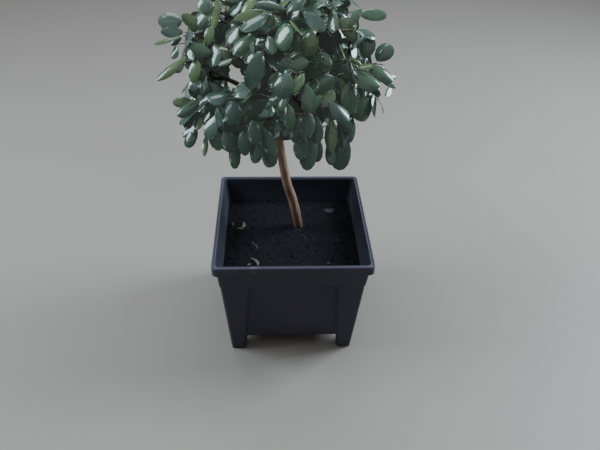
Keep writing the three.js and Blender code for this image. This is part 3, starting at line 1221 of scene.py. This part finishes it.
# The edge that the leaves keep inside, apart from the photo's own leaves, from the top left down.
CROWN_EDGE_PX = (
    (196, 0), (184, 26), (183, 46), (177, 60), (188, 66), (188, 78), (179, 94), (181, 108), (181, 118),
    (187, 126), (200, 122), (207, 134), (226, 151), (240, 157), (262, 157), (277, 148), (282, 141),
    (288, 143), (296, 154), (318, 154), (318, 132), (326, 122), (352, 119), (366, 119), (379, 112),
    (380, 98), (386, 90), (394, 84), (394, 74), (376, 66), (373, 56), (373, 36), (361, 30), (361, 20),
    (363, 6), (357, 0),
)

# Where light shows through from behind: a middle and a radius.
OPENINGS_PX = (
    (232, 74, 6), (231, 82, 5), (211, 83, 2), (243, 83, 3), (267, 68, 3), (255, 99, 3), (255, 118, 2),
    (225, 134, 3), (240, 137, 2), (257, 148, 2), (305, 132, 3), (320, 131, 5), (184, 33, 3), (215, 31, 2),
    (289, 150, 4), (338, 97, 2), (245, 157, 4),
)

# Where the leaves stand back and leave a dark hollow: a middle and a radius.
HOLLOWS_PX = (
    (224, 4, 8), (224, 16, 7), (221, 28, 5), (239, 60, 6), (213, 76, 6), (252, 40, 4), (280, 52, 4),
    (322, 38, 6), (348, 44, 6), (288, 12, 5), (297, 100, 5), (299, 122, 6), (318, 116, 5), (266, 92, 4),
)

# Its leaves, each with the kind, the way that the upper face looks, the pixels of base and tip, and
# the width in pixels. A face looks at us, up, down, sideways with its edge to us, so that it mirrors a
# light, or between us and that way, with a sheen. The light is the left one unless right is said.
# Leaves of the shade kind here are dark with painted shade.
PHOTO_LEAVES = {
    "at the upper left": (
        ("old", "sheen", (182, 21), (157, 20), 19), ("old", "sheen", (183, 32), (160, 31), 12),
        ("fresh", "up", (181, 36), (150, 42), 5), ("fresh", "us", (201, 28), (181, 14), 13),
        ("old", "sheen", (202, 30), (196, 11), 15), ("mid", "us", (208, 16), (200, -4), 13),
        ("young", "up", (213, 30), (216, -5), 9), ("old", "mirror", (182, 36), (169, 44), 9),
        ("old", "edge", (192, 33), (179, 43), 4), ("old", "mirror", (177, 46), (172, 59), 8),
        ("mid", "us", (211, 53), (182, 46), 15), ("old", "mirror", (188, 49), (193, 61), 7),
        ("fresh", "us", (187, 58), (153, 80), 10), ("old", "mirror", (214, 46), (211, 67), 15),
        ("mid", "sheen", (232, 59), (218, 65), 6), ("fresh", "us", (197, 60), (190, 82), 12),
        ("fresh", "us", (208, 44), (209, 24), 10), ("mid", "us", (184, 60), (174, 71), 9),
        ("old", "edge", (206, 76), (199, 88), 4), ("old", "edge", (226, 42), (231, 54), 3),
    ),
    "at the upper middle": (
        ("old", "mirror", (238, 28), (224, 44), 13), ("old", "sheen", (268, 14), (240, 30), 14),
        ("mid", "us", (254, 35), (230, 51), 18), ("fresh", "us", (263, 11), (233, 19), 11),
        ("old", "mirror", (242, 2), (229, 15), 9), ("young", "up", (241, 16), (252, -6), 8),
        ("old", "sheen", (286, 10), (254, 0), 12), ("old", "right sheen", (262, 54), (250, 90), 19),
        ("old", "sheen", (306, -3), (285, 8), 13), ("old", "mirror", (299, 11), (290, 20), 8),
        ("young", "edge", (300, 32), (293, 17), 3), ("mid", "sheen", (284, 51), (281, 20), 20),
        ("old", "sheen", (305, 13), (325, 31), 17), ("fresh", "us", (306, 56), (311, 32), 18),
        ("mid", "us", (309, 62), (275, 65), 18), ("old", "mirror", (319, 59), (300, 72), 12),
        ("mid", "us", (331, 67), (313, 54), 19), ("mid", "us", (268, 36), (272, 54), 12),
        ("mid", "us", (296, 52), (294, 32), 11), ("old", "mirror", (322, 71), (301, 79), 10),
        ("old", "edge", (251, 42), (245, 53), 4),
    ),
    "at the upper right": (
        ("old", "mirror", (342, 62), (326, 34), 8), ("young", "edge", (346, 59), (341, 43), 4),
        ("fresh", "us", (356, 42), (338, 14), 14), ("mid", "sheen", (332, 11), (333, 33), 12),
        ("old", "edge", (360, 11), (354, -6), 5), ("mid", "us", (360, 14), (389, 14), 13),
        ("old", "up", (356, 30), (378, 33), 8), ("mid", "us", (349, 28), (361, 5), 9),
        ("old", "sheen", (365, 59), (366, 34), 17), ("old", "sheen", (377, 61), (388, 41), 18),
        ("mid", "right sheen", (368, 64), (397, 78), 13), ("old", "right mirror", (372, 69), (383, 84), 7),
        ("old", "up", (380, 78), (396, 88), 5), ("mid", "right sheen", (352, 72), (383, 83), 19),
        ("mid", "us", (356, 76), (338, 62), 18), ("young", "us", (345, 93), (340, 78), 7),
        ("young", "up", (357, 68), (372, 62), 5), ("young", "us", (362, 66), (352, 58), 5),
    ),
    "bright ones at the right": (
        ("old", "right mirror", (384, 67), (375, 79), 6), ("old", "right mirror", (386, 75), (397, 77), 5),
        ("old", "right mirror", (380, 84), (373, 96), 7), ("mid", "right mirror", (366, 78), (355, 88), 8),
        ("old", "mirror", (349, 62), (357, 76), 7), ("old", "right mirror", (392, 86), (386, 97), 6),
        ("old", "mirror", (330, 106), (322, 116), 7), ("mid", "mirror", (318, 86), (310, 96), 7),
    ),
    "at the right": (
        ("old", "sheen", (288, 73), (275, 95), 17), ("fresh", "us", (303, 74), (290, 93), 11),
        ("mid", "right sheen", (335, 77), (308, 93), 22), ("fresh", "us", (334, 90), (317, 104), 17),
        ("mid", "us", (284, 94), (280, 110), 9), ("mid", "down", (288, 104), (289, 128), 14),
        ("mid", "us", (305, 84), (311, 113), 15), ("old", "right sheen", (329, 101), (353, 119), 14),
        ("mid", "right sheen", (350, 83), (359, 111), 20),
        ("mid", "right sheen", (364, 90), (366, 121), 20), ("fresh", "edge", (376, 95), (389, 111), 3),
        ("old", "mirror", (369, 84), (380, 97), 8), ("fresh", "us", (331, 119), (330, 153), 14),
        ("old", "us", (341, 133), (337, 172), 20), ("old", "us", (340, 121), (343, 148), 12),
        ("old", "down", (329, 143), (331, 166), 10), ("old", "us", (337, 112), (350, 131), 13),
        ("old", "down", (353, 118), (350, 144), 9), ("shade", "down", (300, 117), (296, 143), 15),
        ("shade", "down", (309, 112), (306, 138), 16), ("shade", "down", (315, 116), (317, 144), 14),
        ("shade", "down", (300, 132), (301, 160), 15), ("shade", "down", (310, 132), (307, 171), 19),
        ("shade", "down", (316, 134), (317, 163), 12), ("mid", "us", (322, 96), (300, 108), 14),
        ("old", "edge", (376, 92), (379, 118), 7),
    ),
    "at the left": (
        ("fresh", "us", (191, 101), (172, 102), 11), ("mid", "us", (200, 101), (175, 115), 12),
        ("old", "edge", (196, 110), (174, 118), 4), ("old", "edge", (190, 80), (180, 93), 4),
        ("old", "mirror", (210, 95), (198, 105), 8), ("old", "mirror", (205, 106), (195, 115), 8),
        ("old", "mirror", (210, 112), (203, 122), 5), ("old", "edge", (192, 115), (179, 126), 4),
        ("old", "mirror", (199, 126), (181, 136), 9), ("old", "us", (196, 127), (184, 147), 12),
        ("old", "us", (194, 112), (184, 130), 11), ("fresh", "us", (201, 112), (196, 130), 10),
        ("old", "sheen", (216, 115), (204, 139), 13), ("fresh", "down", (206, 136), (204, 157), 6),
        ("shade", "down", (208, 130), (220, 150), 14), ("shade", "down", (218, 134), (228, 153), 12),
        ("old", "edge", (216, 107), (214, 127), 3), ("shade", "down", (234, 101), (232, 124), 17),
        ("shade", "down", (267, 101), (248, 119), 16), ("shade", "down", (234, 138), (234, 170), 13),
        ("shade", "us", (225, 128), (230, 153), 14), ("shade", "us", (245, 130), (243, 156), 14),
        ("shade", "us", (257, 136), (254, 164), 13), ("old", "sheen", (268, 141), (267, 168), 16),
        ("shade", "us", (262, 128), (274, 156), 14), ("shade", "us", (252, 120), (256, 146), 15),
        ("mid", "down", (246, 126), (262, 132), 10),
    ),
}

# No leaf hangs in front of the trunk below this height, which rises towards the front.
CLEARING_HALF_WIDTH = 31 * MM
CLEARING_HEIGHT = 424 * MM
CLEARING_RISE = 0.62
BARE_TRUNK_HEIGHT = 350 * MM


def spread_directions(count, rng, jitter):
    """Directions spread evenly over a ball, each shaken a little."""
    for i in range(count):
        z = 1 - 2 * (i + 0.5) / count
        turn = i * GOLDEN_TURN
        flat = math.sqrt(1 - z * z)
        even = Vector((flat * math.cos(turn), flat * math.sin(turn), z))
        yield (even + shaken(rng, jitter)).normalized()


class Spray:
    """The leafy tip of a twig, with the direction that it grows in and the line that it grew along."""

    KINDS = ("old", "mid", "fresh")
    SHARES = (0.44, 0.34, 0.22)

    def __init__(self, place, grows, mass, vigour):
        self.place = place
        self.grows = grows
        self.mass = mass
        self.vigour = vigour
        self.path = []

    def leaf_up(self, kinds, plan, rng):
        """A whole rosette, its kind dealt to the spray."""
        kind = rng.choices(self.KINDS, self.SHARES)[0]
        # Painted shade: low sprays mostly get the dark shade leaves.
        if self.place.z < SHADE_HEIGHT and kind in ("old", "mid") and rng.random() < SHADE_SHARE:
            kind = "shade"
        self.add_spiral(kinds, kind, rng.choice(SPRAY_LEAVES), 0, plan, rng)

    def add_spiral(self, kinds, kind, count, first, plan, rng):
        """Leaves in a spiral back from the twig's tip: the young ones close, the old ones spread."""
        turn = rng.uniform(0, math.tau)
        distance = 1 * MM
        for number in range(first, first + count):
            age = min(1, number / GROWN_NUMBER)
            place, axis = walk_back(self.path, distance)
            distance += LEAF_SPACING * (0.35 + 0.65 * age) * rng.uniform(0.7, 1.3)
            around = Quaternion(axis, turn + number * GOLDEN_TURN) @ axis.orthogonal().normalized()
            tilt = YOUNG_TILT + OPENING_TILT * age ** 0.8 + rng.uniform(-TILT_JITTER, TILT_JITTER)
            along = axis * math.cos(math.radians(tilt)) + around * math.sin(math.radians(tilt))
            along = (along - UP * (0.1 + 0.4 * age) * rng.uniform(0.3, 1.3)).normalized()
            outward = (place - CROWN_MIDDLE).normalized()
            face = (axis * 0.4 + outward * 0.5 + UP * 0.75 + shaken(rng, 0.3)).normalized()
            length = LEAF_LENGTH * self.vigour * (0.5 + 0.5 * age ** 0.6) * rng.uniform(0.74, 1.06)
            tender = number < TENDER_LEAVES and kind not in ("old", "shade") and rng.random() < TENDER_SHARE
            if plan.allows(place, along * length, face):
                kinds["young" if tender else kind].add(place, along, face, length, rng)


class InnerSpray(Spray):
    """A spray in the shade inside the crown, with thinner leaves painted paler, as painted light against that
    shade.
    """

    KINDS = ("inner",)
    SHARES = (1,)


class PhotoLeaf(Spray):
    """A leaf that the photo shows, at the tip of its own twig, and the leaves behind it."""

    def __init__(self, view, crown, kind, facing, base_pixel, tip_pixel, width_px):
        depth = crown.depth_at(view, base_pixel) + LEAF_SINK
        base = view.through(base_pixel, depth)
        tip = view.through(tip_pixel, depth - LEAF_RISE)
        side, _, facing = facing.rpartition(" ")
        mirror = mirror_way(view, base, RIGHT_LIGHT if side == "right" else LEFT_LIGHT)
        self.flat = facing == "mirror"
        if self.flat:
            tip = self.tip_in_plane(view, base, tip, mirror)
        base -= (tip - base) * STALK_SHARE
        self.kind = kind
        self.along = tip - base
        self.face = self.facing(view, facing, mirror)
        self.base_spot, _ = view.seen_at(base)
        self.tip_spot, self.depth = view.seen_at(tip)
        self.half_width = width_px / 2
        self.widest = WIDEST_EDGE_LEAF if facing == "edge" else WIDEST_LEAF
        self.width = self.true_width(view, base, width_px)
        outward = (base - crown.middle).normalized()
        _, mass = crown.edge(outward)
        super().__init__(base, (self.along.normalized() + outward).normalized(), mass, 1)

    def true_width(self, view, base, width_px):
        """The width in metres of a leaf that looks so many pixels wide."""
        middle = base + self.along / 2
        across = self.along.cross(self.face).normalized() * MM
        step = view.seen_at(middle + across)[0] - view.seen_at(middle)[0]
        axis = (self.tip_spot - self.base_spot).normalized()
        seen = abs(step.x * axis.y - step.y * axis.x)
        return min(self.widest, width_px / seen * MM)

    def tip_in_plane(self, view, base, tip, normal):
        """The tip moved nearer or farther until the leaf lies in the plane that mirrors the light."""
        ray = (tip - view.place).normalized()
        place = view.place + ray * ((base - view.place).dot(normal) / ray.dot(normal))
        longest = (tip - base).length * LONGEST_STRETCH
        slant = place - tip
        while (place - base).length > longest:
            slant *= 0.8
            place = tip + slant
        return place

    def facing(self, view, facing, mirror):
        """The way that the upper face looks."""
        back = -view.ahead
        ways = {
            "us": back + mirror * 0.6,
            "sheen": back * 0.45 + mirror,
            "up": back * 0.4 + UP,
            "down": back - UP * 0.75,
            "mirror": mirror,
        }
        if facing == "edge":
            across = self.along.cross(back).normalized()
            return across * math.copysign(1, across.z) + back * 0.35
        return ways[facing].normalized()

    def leaf_up(self, kinds, plan, rng):
        """The photo's leaf itself, and companions behind it on its twig."""
        kinds[self.kind].add(self.place, self.along, self.face, self.along.length, rng, self.width, self.flat)
        kind = rng.choice(("old", "mid")) if self.kind == "young" else self.kind
        self.add_spiral(kinds, kind, COMPANION_COUNT, 3, plan, rng)


class Plan:
    """What the photo shows of the crown, which the leaves of the seeded sprays leave open to the view."""

    def __init__(self, view, crown, trunk):
        self.view = view
        self.trunk = trunk
        self.leaves = [PhotoLeaf(view, crown, *leaf) for region in PHOTO_LEAVES.values() for leaf in region]
        _, self.middle_depth = view.seen_at(crown.middle)

    def opens(self, place):
        """Whether the photo shows sky, a hollow or the trunk where a place would be."""
        if in_clearing(place, self.trunk):
            return True
        spot, depth = self.view.seen_at(place)
        if spot.y > 0 and not inside(spot, CROWN_EDGE_PX):
            return True
        spots = OPENINGS_PX + (HOLLOWS_PX if depth < self.middle_depth else ())
        return any((spot - Vector((u, v))).length < radius for u, v, radius in spots)

    def hides_leaf(self, place):
        """Whether a leaf at a place would stand in front of one of the photo's own."""
        spot, depth = self.view.seen_at(place)
        for leaf in self.leaves:
            if depth < leaf.depth + LEAF_SINK / 2:
                run = leaf.tip_spot - leaf.base_spot
                share = min(1, max(0, (spot - leaf.base_spot).dot(run) / run.dot(run)))
                if (spot - leaf.base_spot - run * share).length < leaf.half_width:
                    return True
        return False

    def allows(self, base, run, face):
        """Whether a leaf leaves open all that it should, tried at its tip, along it and at its sides."""
        across = run.cross(face).normalized() * run.length * LEAF_HALF_WIDTH
        tried = [base + run * share for share in (0.3, 0.65, 1)]
        tried += [base + run * share + across * side for share in (0.45, 0.78) for side in (-1, 1)]
        return not any(self.opens(place) or self.hides_leaf(place) for place in tried)


def mirror_way(view, place, light):
    """The way that a flat leaf looks when it mirrors a light to the photo's viewer."""
    return ((view.place - place).normalized() + (POT + light - place).normalized()).normalized()


def inside(spot, outline):
    """Whether a point lies inside a closed outline."""
    crossings = 0
    for (x0, y0), (x1, y1) in zip(outline, outline[1:] + outline[:1]):
        if (y0 > spot.y) != (y1 > spot.y) and spot.x < x0 + (x1 - x0) * (spot.y - y0) / (y1 - y0):
            crossings += 1
    return crossings % 2 == 1


def place_sprays(crown, rng):
    """The crown's seeded sprays: an outer shell at the outline, and an inner one."""
    sprays = []
    for direction in spread_directions(SPRAY_COUNT, rng, SPRAY_JITTER):
        edge, mass = crown.edge(direction)
        inset = SPRAY_INSET * (1 + 0.8 * noise.noise(direction * 2.6)) + rng.uniform(0, SPRAY_SPREAD)
        place = edge - direction * inset
        grows = (direction + UP * 0.3 + shaken(rng, 0.3)).normalized()
        sprays.append(Spray(place, grows, mass, rng.uniform(0.88, 1.12)))
    for direction in spread_directions(INNER_SPRAY_COUNT, rng, INNER_SPRAY_JITTER):
        edge, mass = crown.edge(direction)
        place = crown.middle + (edge - crown.middle) * rng.uniform(0.58, 0.84)
        grows = (direction + UP * 0.2 + shaken(rng, 0.5)).normalized()
        sprays.append(InnerSpray(place, grows, mass, rng.uniform(0.85, 1.05)))
    return sprays


def shaken(rng, amount):
    """A small random offset."""
    return Vector([rng.uniform(-amount, amount) for _ in range(3)])


def split(sprays):
    """Two groups of sprays, parted across their widest direction."""
    middle = middle_of([spray.place for spray in sprays])
    spread = np.array([spray.place - middle for spray in sprays])
    _, _, axes = np.linalg.svd(spread, full_matrices=False)
    widest = Vector(axes[0])
    ordered = sorted(sprays, key=lambda spray: (spray.place - middle).dot(widest))
    half = len(ordered) // 2
    return ordered[:half], ordered[half:]


# A limb's girth grows with the number of its sprays, raised to a power.
TWIG_GIRTH = 0.95 * MM
GIRTH_POWER = 0.42
TWIG_TAPER = 0.35
FORK_SWELL = 1.1

# How far towards its sprays a limb runs before it forks, and the last limbs, with three or fewer.
FORK_SHARE = 0.38
LAST_FORK_SHARE = 0.45
LAST_FORK_SPRAYS = 3


def grow(limbs, start, heading, sprays, rng, behind):
    """The branching rule: a limb runs part of the way to its sprays, then parts in two."""
    count = len(sprays)
    girth = TWIG_GIRTH * count ** GIRTH_POWER
    if count == 1:
        spray = sprays[0]
        path = bent_path(start, heading, spray.place, spray.grows, rng)
        limbs.add(path, [girth * (1 - TWIG_TAPER * i / (len(path) - 1)) for i in range(len(path))])
        spray.path = behind + path[1:]
        return
    middle = middle_of([spray.place for spray in sprays])
    share = FORK_SHARE if count > LAST_FORK_SPRAYS else LAST_FORK_SHARE
    fork = start.lerp(middle, share) + shaken(rng, 0.05) * (middle - start).length
    onward = (fork - start).normalized()
    path = bent_path(start, heading, fork, onward, rng)
    next_girth = TWIG_GIRTH * (count / 2) ** GIRTH_POWER * FORK_SWELL
    limbs.add(path, [girth + (next_girth - girth) * i / (len(path) - 1) for i in range(len(path))])
    for group in split(sprays):
        grow(limbs, fork, onward, group, rng, behind + path[1:])


def bent_path(start, leaves, end, arrives, rng, steps=6):
    """A smooth line between two points that keeps the directions at its ends."""
    pull = (end - start).length * 0.4
    first = start + leaves * pull * 0.8 + shaken(rng, 0.06) * pull
    second = end - arrives * pull * 0.8
    line = []
    for step in range(steps + 1):
        t = step / steps
        s = 1 - t
        line.append(start * s ** 3 + first * (3 * s * s * t) + second * (3 * s * t * t) + end * t ** 3)
    return line


def grow_crown(crown, plan, stem, twigs, rng):
    """Branches from the boughs' ends, mass by mass, to a spray at each twig's tip."""
    sprays = [spray for spray in place_sprays(crown, rng) if not plan.opens(spray.place)]
    sprays += plan.leaves
    for mass in MASSES:
        own = [spray for spray in sprays if spray.mass == mass]
        if own:
            start, heading = stem.tips[mass]
            grow(twigs, start, heading, own, rng, [start])
    return sprays


def walk_back(path, distance):
    """The point at a distance back from a line's end, and the direction of growth there."""
    for ahead, behind in zip(reversed(path), reversed(path[:-1])):
        length = (ahead - behind).length
        if distance <= length:
            return ahead.lerp(behind, distance / length), (ahead - behind).normalized()
        distance -= length
    return path[0], (path[1] - path[0]).normalized()


def in_clearing(place, trunk):
    """Whether a leaf or spray at a place would hang in front of the bare trunk."""
    lowest = CLEARING_HEIGHT + CLEARING_RISE * (trunk.y - place.y)
    return abs(place.x - trunk.x) < CLEARING_HALF_WIDTH and place.y < trunk.y and place.z < lowest


# The girths of the wood, each limb's from its root on. The trunk's come from its solid, kept below the
# widest.
WIDEST_GIRTH = 10 * MM
LEADER_GIRTHS = [5.6 * MM, 4.2 * MM]
BOUGH_GIRTHS = [5.2 * MM, 4.6 * MM, 3.7 * MM, 3.0 * MM]
TRUNK_STEPS = 14
BOUGH_STEPS = 5


class Stem:
    """The trunk, leader and boughs as lines, and where each mass's wood carries on from them."""

    def __init__(self):
        self.limbs = Limbs()
        self.tips = {}
        _, leader_tip = limb_ends("leader", TRUNK_LINE[-1][0])
        leader_middle = middle_of(node_points("leader"))
        line = [place for place, _ in TRUNK_LINE] + [leader_middle, leader_tip]
        girths = [min(girth, WIDEST_GIRTH) for _, girth in TRUNK_LINE] + LEADER_GIRTHS
        self.axis, girths = smooth_line(line, girths, TRUNK_STEPS)
        self.limbs.add(self.axis, girths)
        self.tips["foliage_top"] = (leader_tip, (leader_tip - leader_middle).normalized())
        for name in BOUGHS:
            self.add_bough(name)

    def bare_trunk(self):
        """The middle of the trunk where the photo shows it bare."""
        return min(self.axis, key=lambda point: abs(point.z - BARE_TRUNK_HEIGHT))

    def add_bough(self, name):
        """A bough from inside the trunk or leader, through its CAD solid, to the solid's far end."""
        middle = middle_of(node_points(name))
        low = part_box(name)[0].z
        nearest = min(self.axis, key=lambda point: (point - middle).length + 0.4 * abs(point.z - low))
        near, far = limb_ends(name, nearest)
        root = min(self.axis, key=lambda point: (point - near).length)
        self.limbs.add(*smooth_line([root, near, middle, far], BOUGH_GIRTHS, BOUGH_STEPS))
        mass = name.replace("bough", "foliage")
        self.tips[mass] = (far, (far - middle).normalized())


def make_wood(stem, twigs):
    """The trunk with its boughs as one piece, and the twigs as another."""
    wood = wood_recipe()
    bark = wood.make(
        "stem_bark", stem.limbs.mesh("stem_lines"), Sides=40, Relief=1.3 * MM, Grain=170.0,
        Finish=finish_bark(),
    )
    settle(bark, "bark", "trunk", "leader", *BOUGHS)
    branches = wood.make(
        "twigs", twigs.mesh("twig_lines"), Sides=6, Relief=0.2 * MM, Grain=300.0, Finish=finish_twig(),
    )
    settle(branches, "bark")


def make_leaves(sprays, plan, rng):
    """Every spray's leaves, as one piece for each age of leaf. The first stands for the masses."""
    kinds = make_leaf_kinds()
    for spray in sprays:
        spray.leaf_up(kinds, plan, rng)
    recipe = leaf_recipe()
    replaced = MASSES
    for kind in kinds.values():
        settle(kind.make(recipe), "foliage", *replaced)
        replaced = ()


def make_plant(view):
    """The whole plant: where its sprays are, the wood that reaches them, and their leaves."""
    rng = random.Random(CROWN_SEED)
    crown = Crown()
    stem = Stem()
    twigs = Limbs()
    plan = Plan(view, crown, stem.bare_trunk())
    sprays = grow_crown(crown, plan, stem, twigs, rng)
    make_wood(stem, twigs)
    make_leaves(sprays, plan, rng)


# Camera, light and floor


SENSOR_WIDTH = 36
NEAREST_SEEN = 0.05

# The lights: place from the planter's middle and size in metres, power in watts, and colour.
LIGHTS = {
    "light_right": (RIGHT_LIGHT, (1.1, 1.45), 138, (0.74, 0.91, 1.0)),
    "light_left": (LEFT_LIGHT, (1.15, 1.45), 90, (0.74, 0.91, 1.0)),
    "light_above": (Vector((-0.2, 0.8, 2.7)), (1.4, 0.9), 28, (0.8, 0.93, 1.0)),
    "light_front": (Vector((-0.6, -1.4, 3.0)), (3.2, 2.4), 9, (0.95, 0.98, 1.0)),
}
LIT_PLACE = Vector((0, 0, 0.45))

# The light from all round, and the way that it is brightest.
BRIGHTEST_WAY = (0.0, 0.45, 0.89)
ROOM_BRIGHT = (0.57, 0.6, 0.64)
ROOM_DIM = (0.125, 0.13, 0.137)

FLOOR_HALF = 7
FLOOR_DARKER = (0.2, 0.175, 0.155)
FLOOR_PALER = (0.213, 0.187, 0.167)


def make_camera(view):
    """The scene's camera, which sees what the photo's did."""
    data = bpy.data.cameras.new("camera")
    data.sensor_width = SENSOR_WIDTH
    data.lens = FOCAL_PX * SENSOR_WIDTH / FRAME_WIDTH_PX
    data.clip_start = NEAREST_SEEN
    camera = bpy.data.objects.new("camera", data)
    turn = Matrix((view.right, -view.down, -view.ahead)).transposed()
    camera.matrix_world = Matrix.Translation(view.place) @ turn.to_4x4()
    bpy.context.scene.collection.objects.link(camera)
    bpy.context.scene.camera = camera


def make_light(name, offset, size, power, colour):
    """A large soft light that faces the crown."""
    data = bpy.data.lights.new(name, "AREA")
    data.shape = "RECTANGLE"
    data.size, data.size_y = size
    data.energy = power
    data.color = colour
    light = bpy.data.objects.new(name, data)
    place = POT + offset
    aim = POT + LIT_PLACE - place
    light.matrix_world = Matrix.Translation(place) @ aim.to_track_quat("-Z", "Y").to_matrix().to_4x4()
    bpy.context.scene.collection.objects.link(light)


def make_room():
    """Soft light from all round, which fades from above and behind to below and in front."""
    world = bpy.data.worlds.new("room")
    world.use_nodes = True
    room = Graph(world.node_tree)
    direction = room.add("ShaderNodeTexCoord", out="Generated")
    height = room.vectors("DOT_PRODUCT", direction, BRIGHTEST_WAY, out="Value")
    light = room.blend(height.within(-0.1, 1.0), ROOM_DIM, ROOM_BRIGHT)
    room.feed(world.node_tree.nodes["Background"].inputs["Color"], light)
    bpy.context.scene.world = world


def make_floor():
    """A plain pale floor."""
    half = FLOOR_HALF
    mesh = bpy.data.meshes.new("floor")
    corners = [(-half, -half, 0), (half, -half, 0), (half, half, 0), (-half, half, 0)]
    mesh.from_pydata(corners, [], [(0, 1, 2, 3)])
    finish = Finish("pale_floor", Specular_IOR_Level=0.3)
    cloud = finish.mottle(3, 2)
    finish.drive("Base Color", finish.blend(cloud, FLOOR_DARKER, FLOOR_PALER))
    finish.drive("Roughness", 0.5 + cloud * 0.1)
    mesh.materials.append(finish.material)
    floor = add_piece("floor", mesh)


view = View()
make_camera(view)
for name, light in LIGHTS.items():
    make_light(name, *light)
make_room()
make_floor()
make_planter()
make_compost()
make_plant(view)
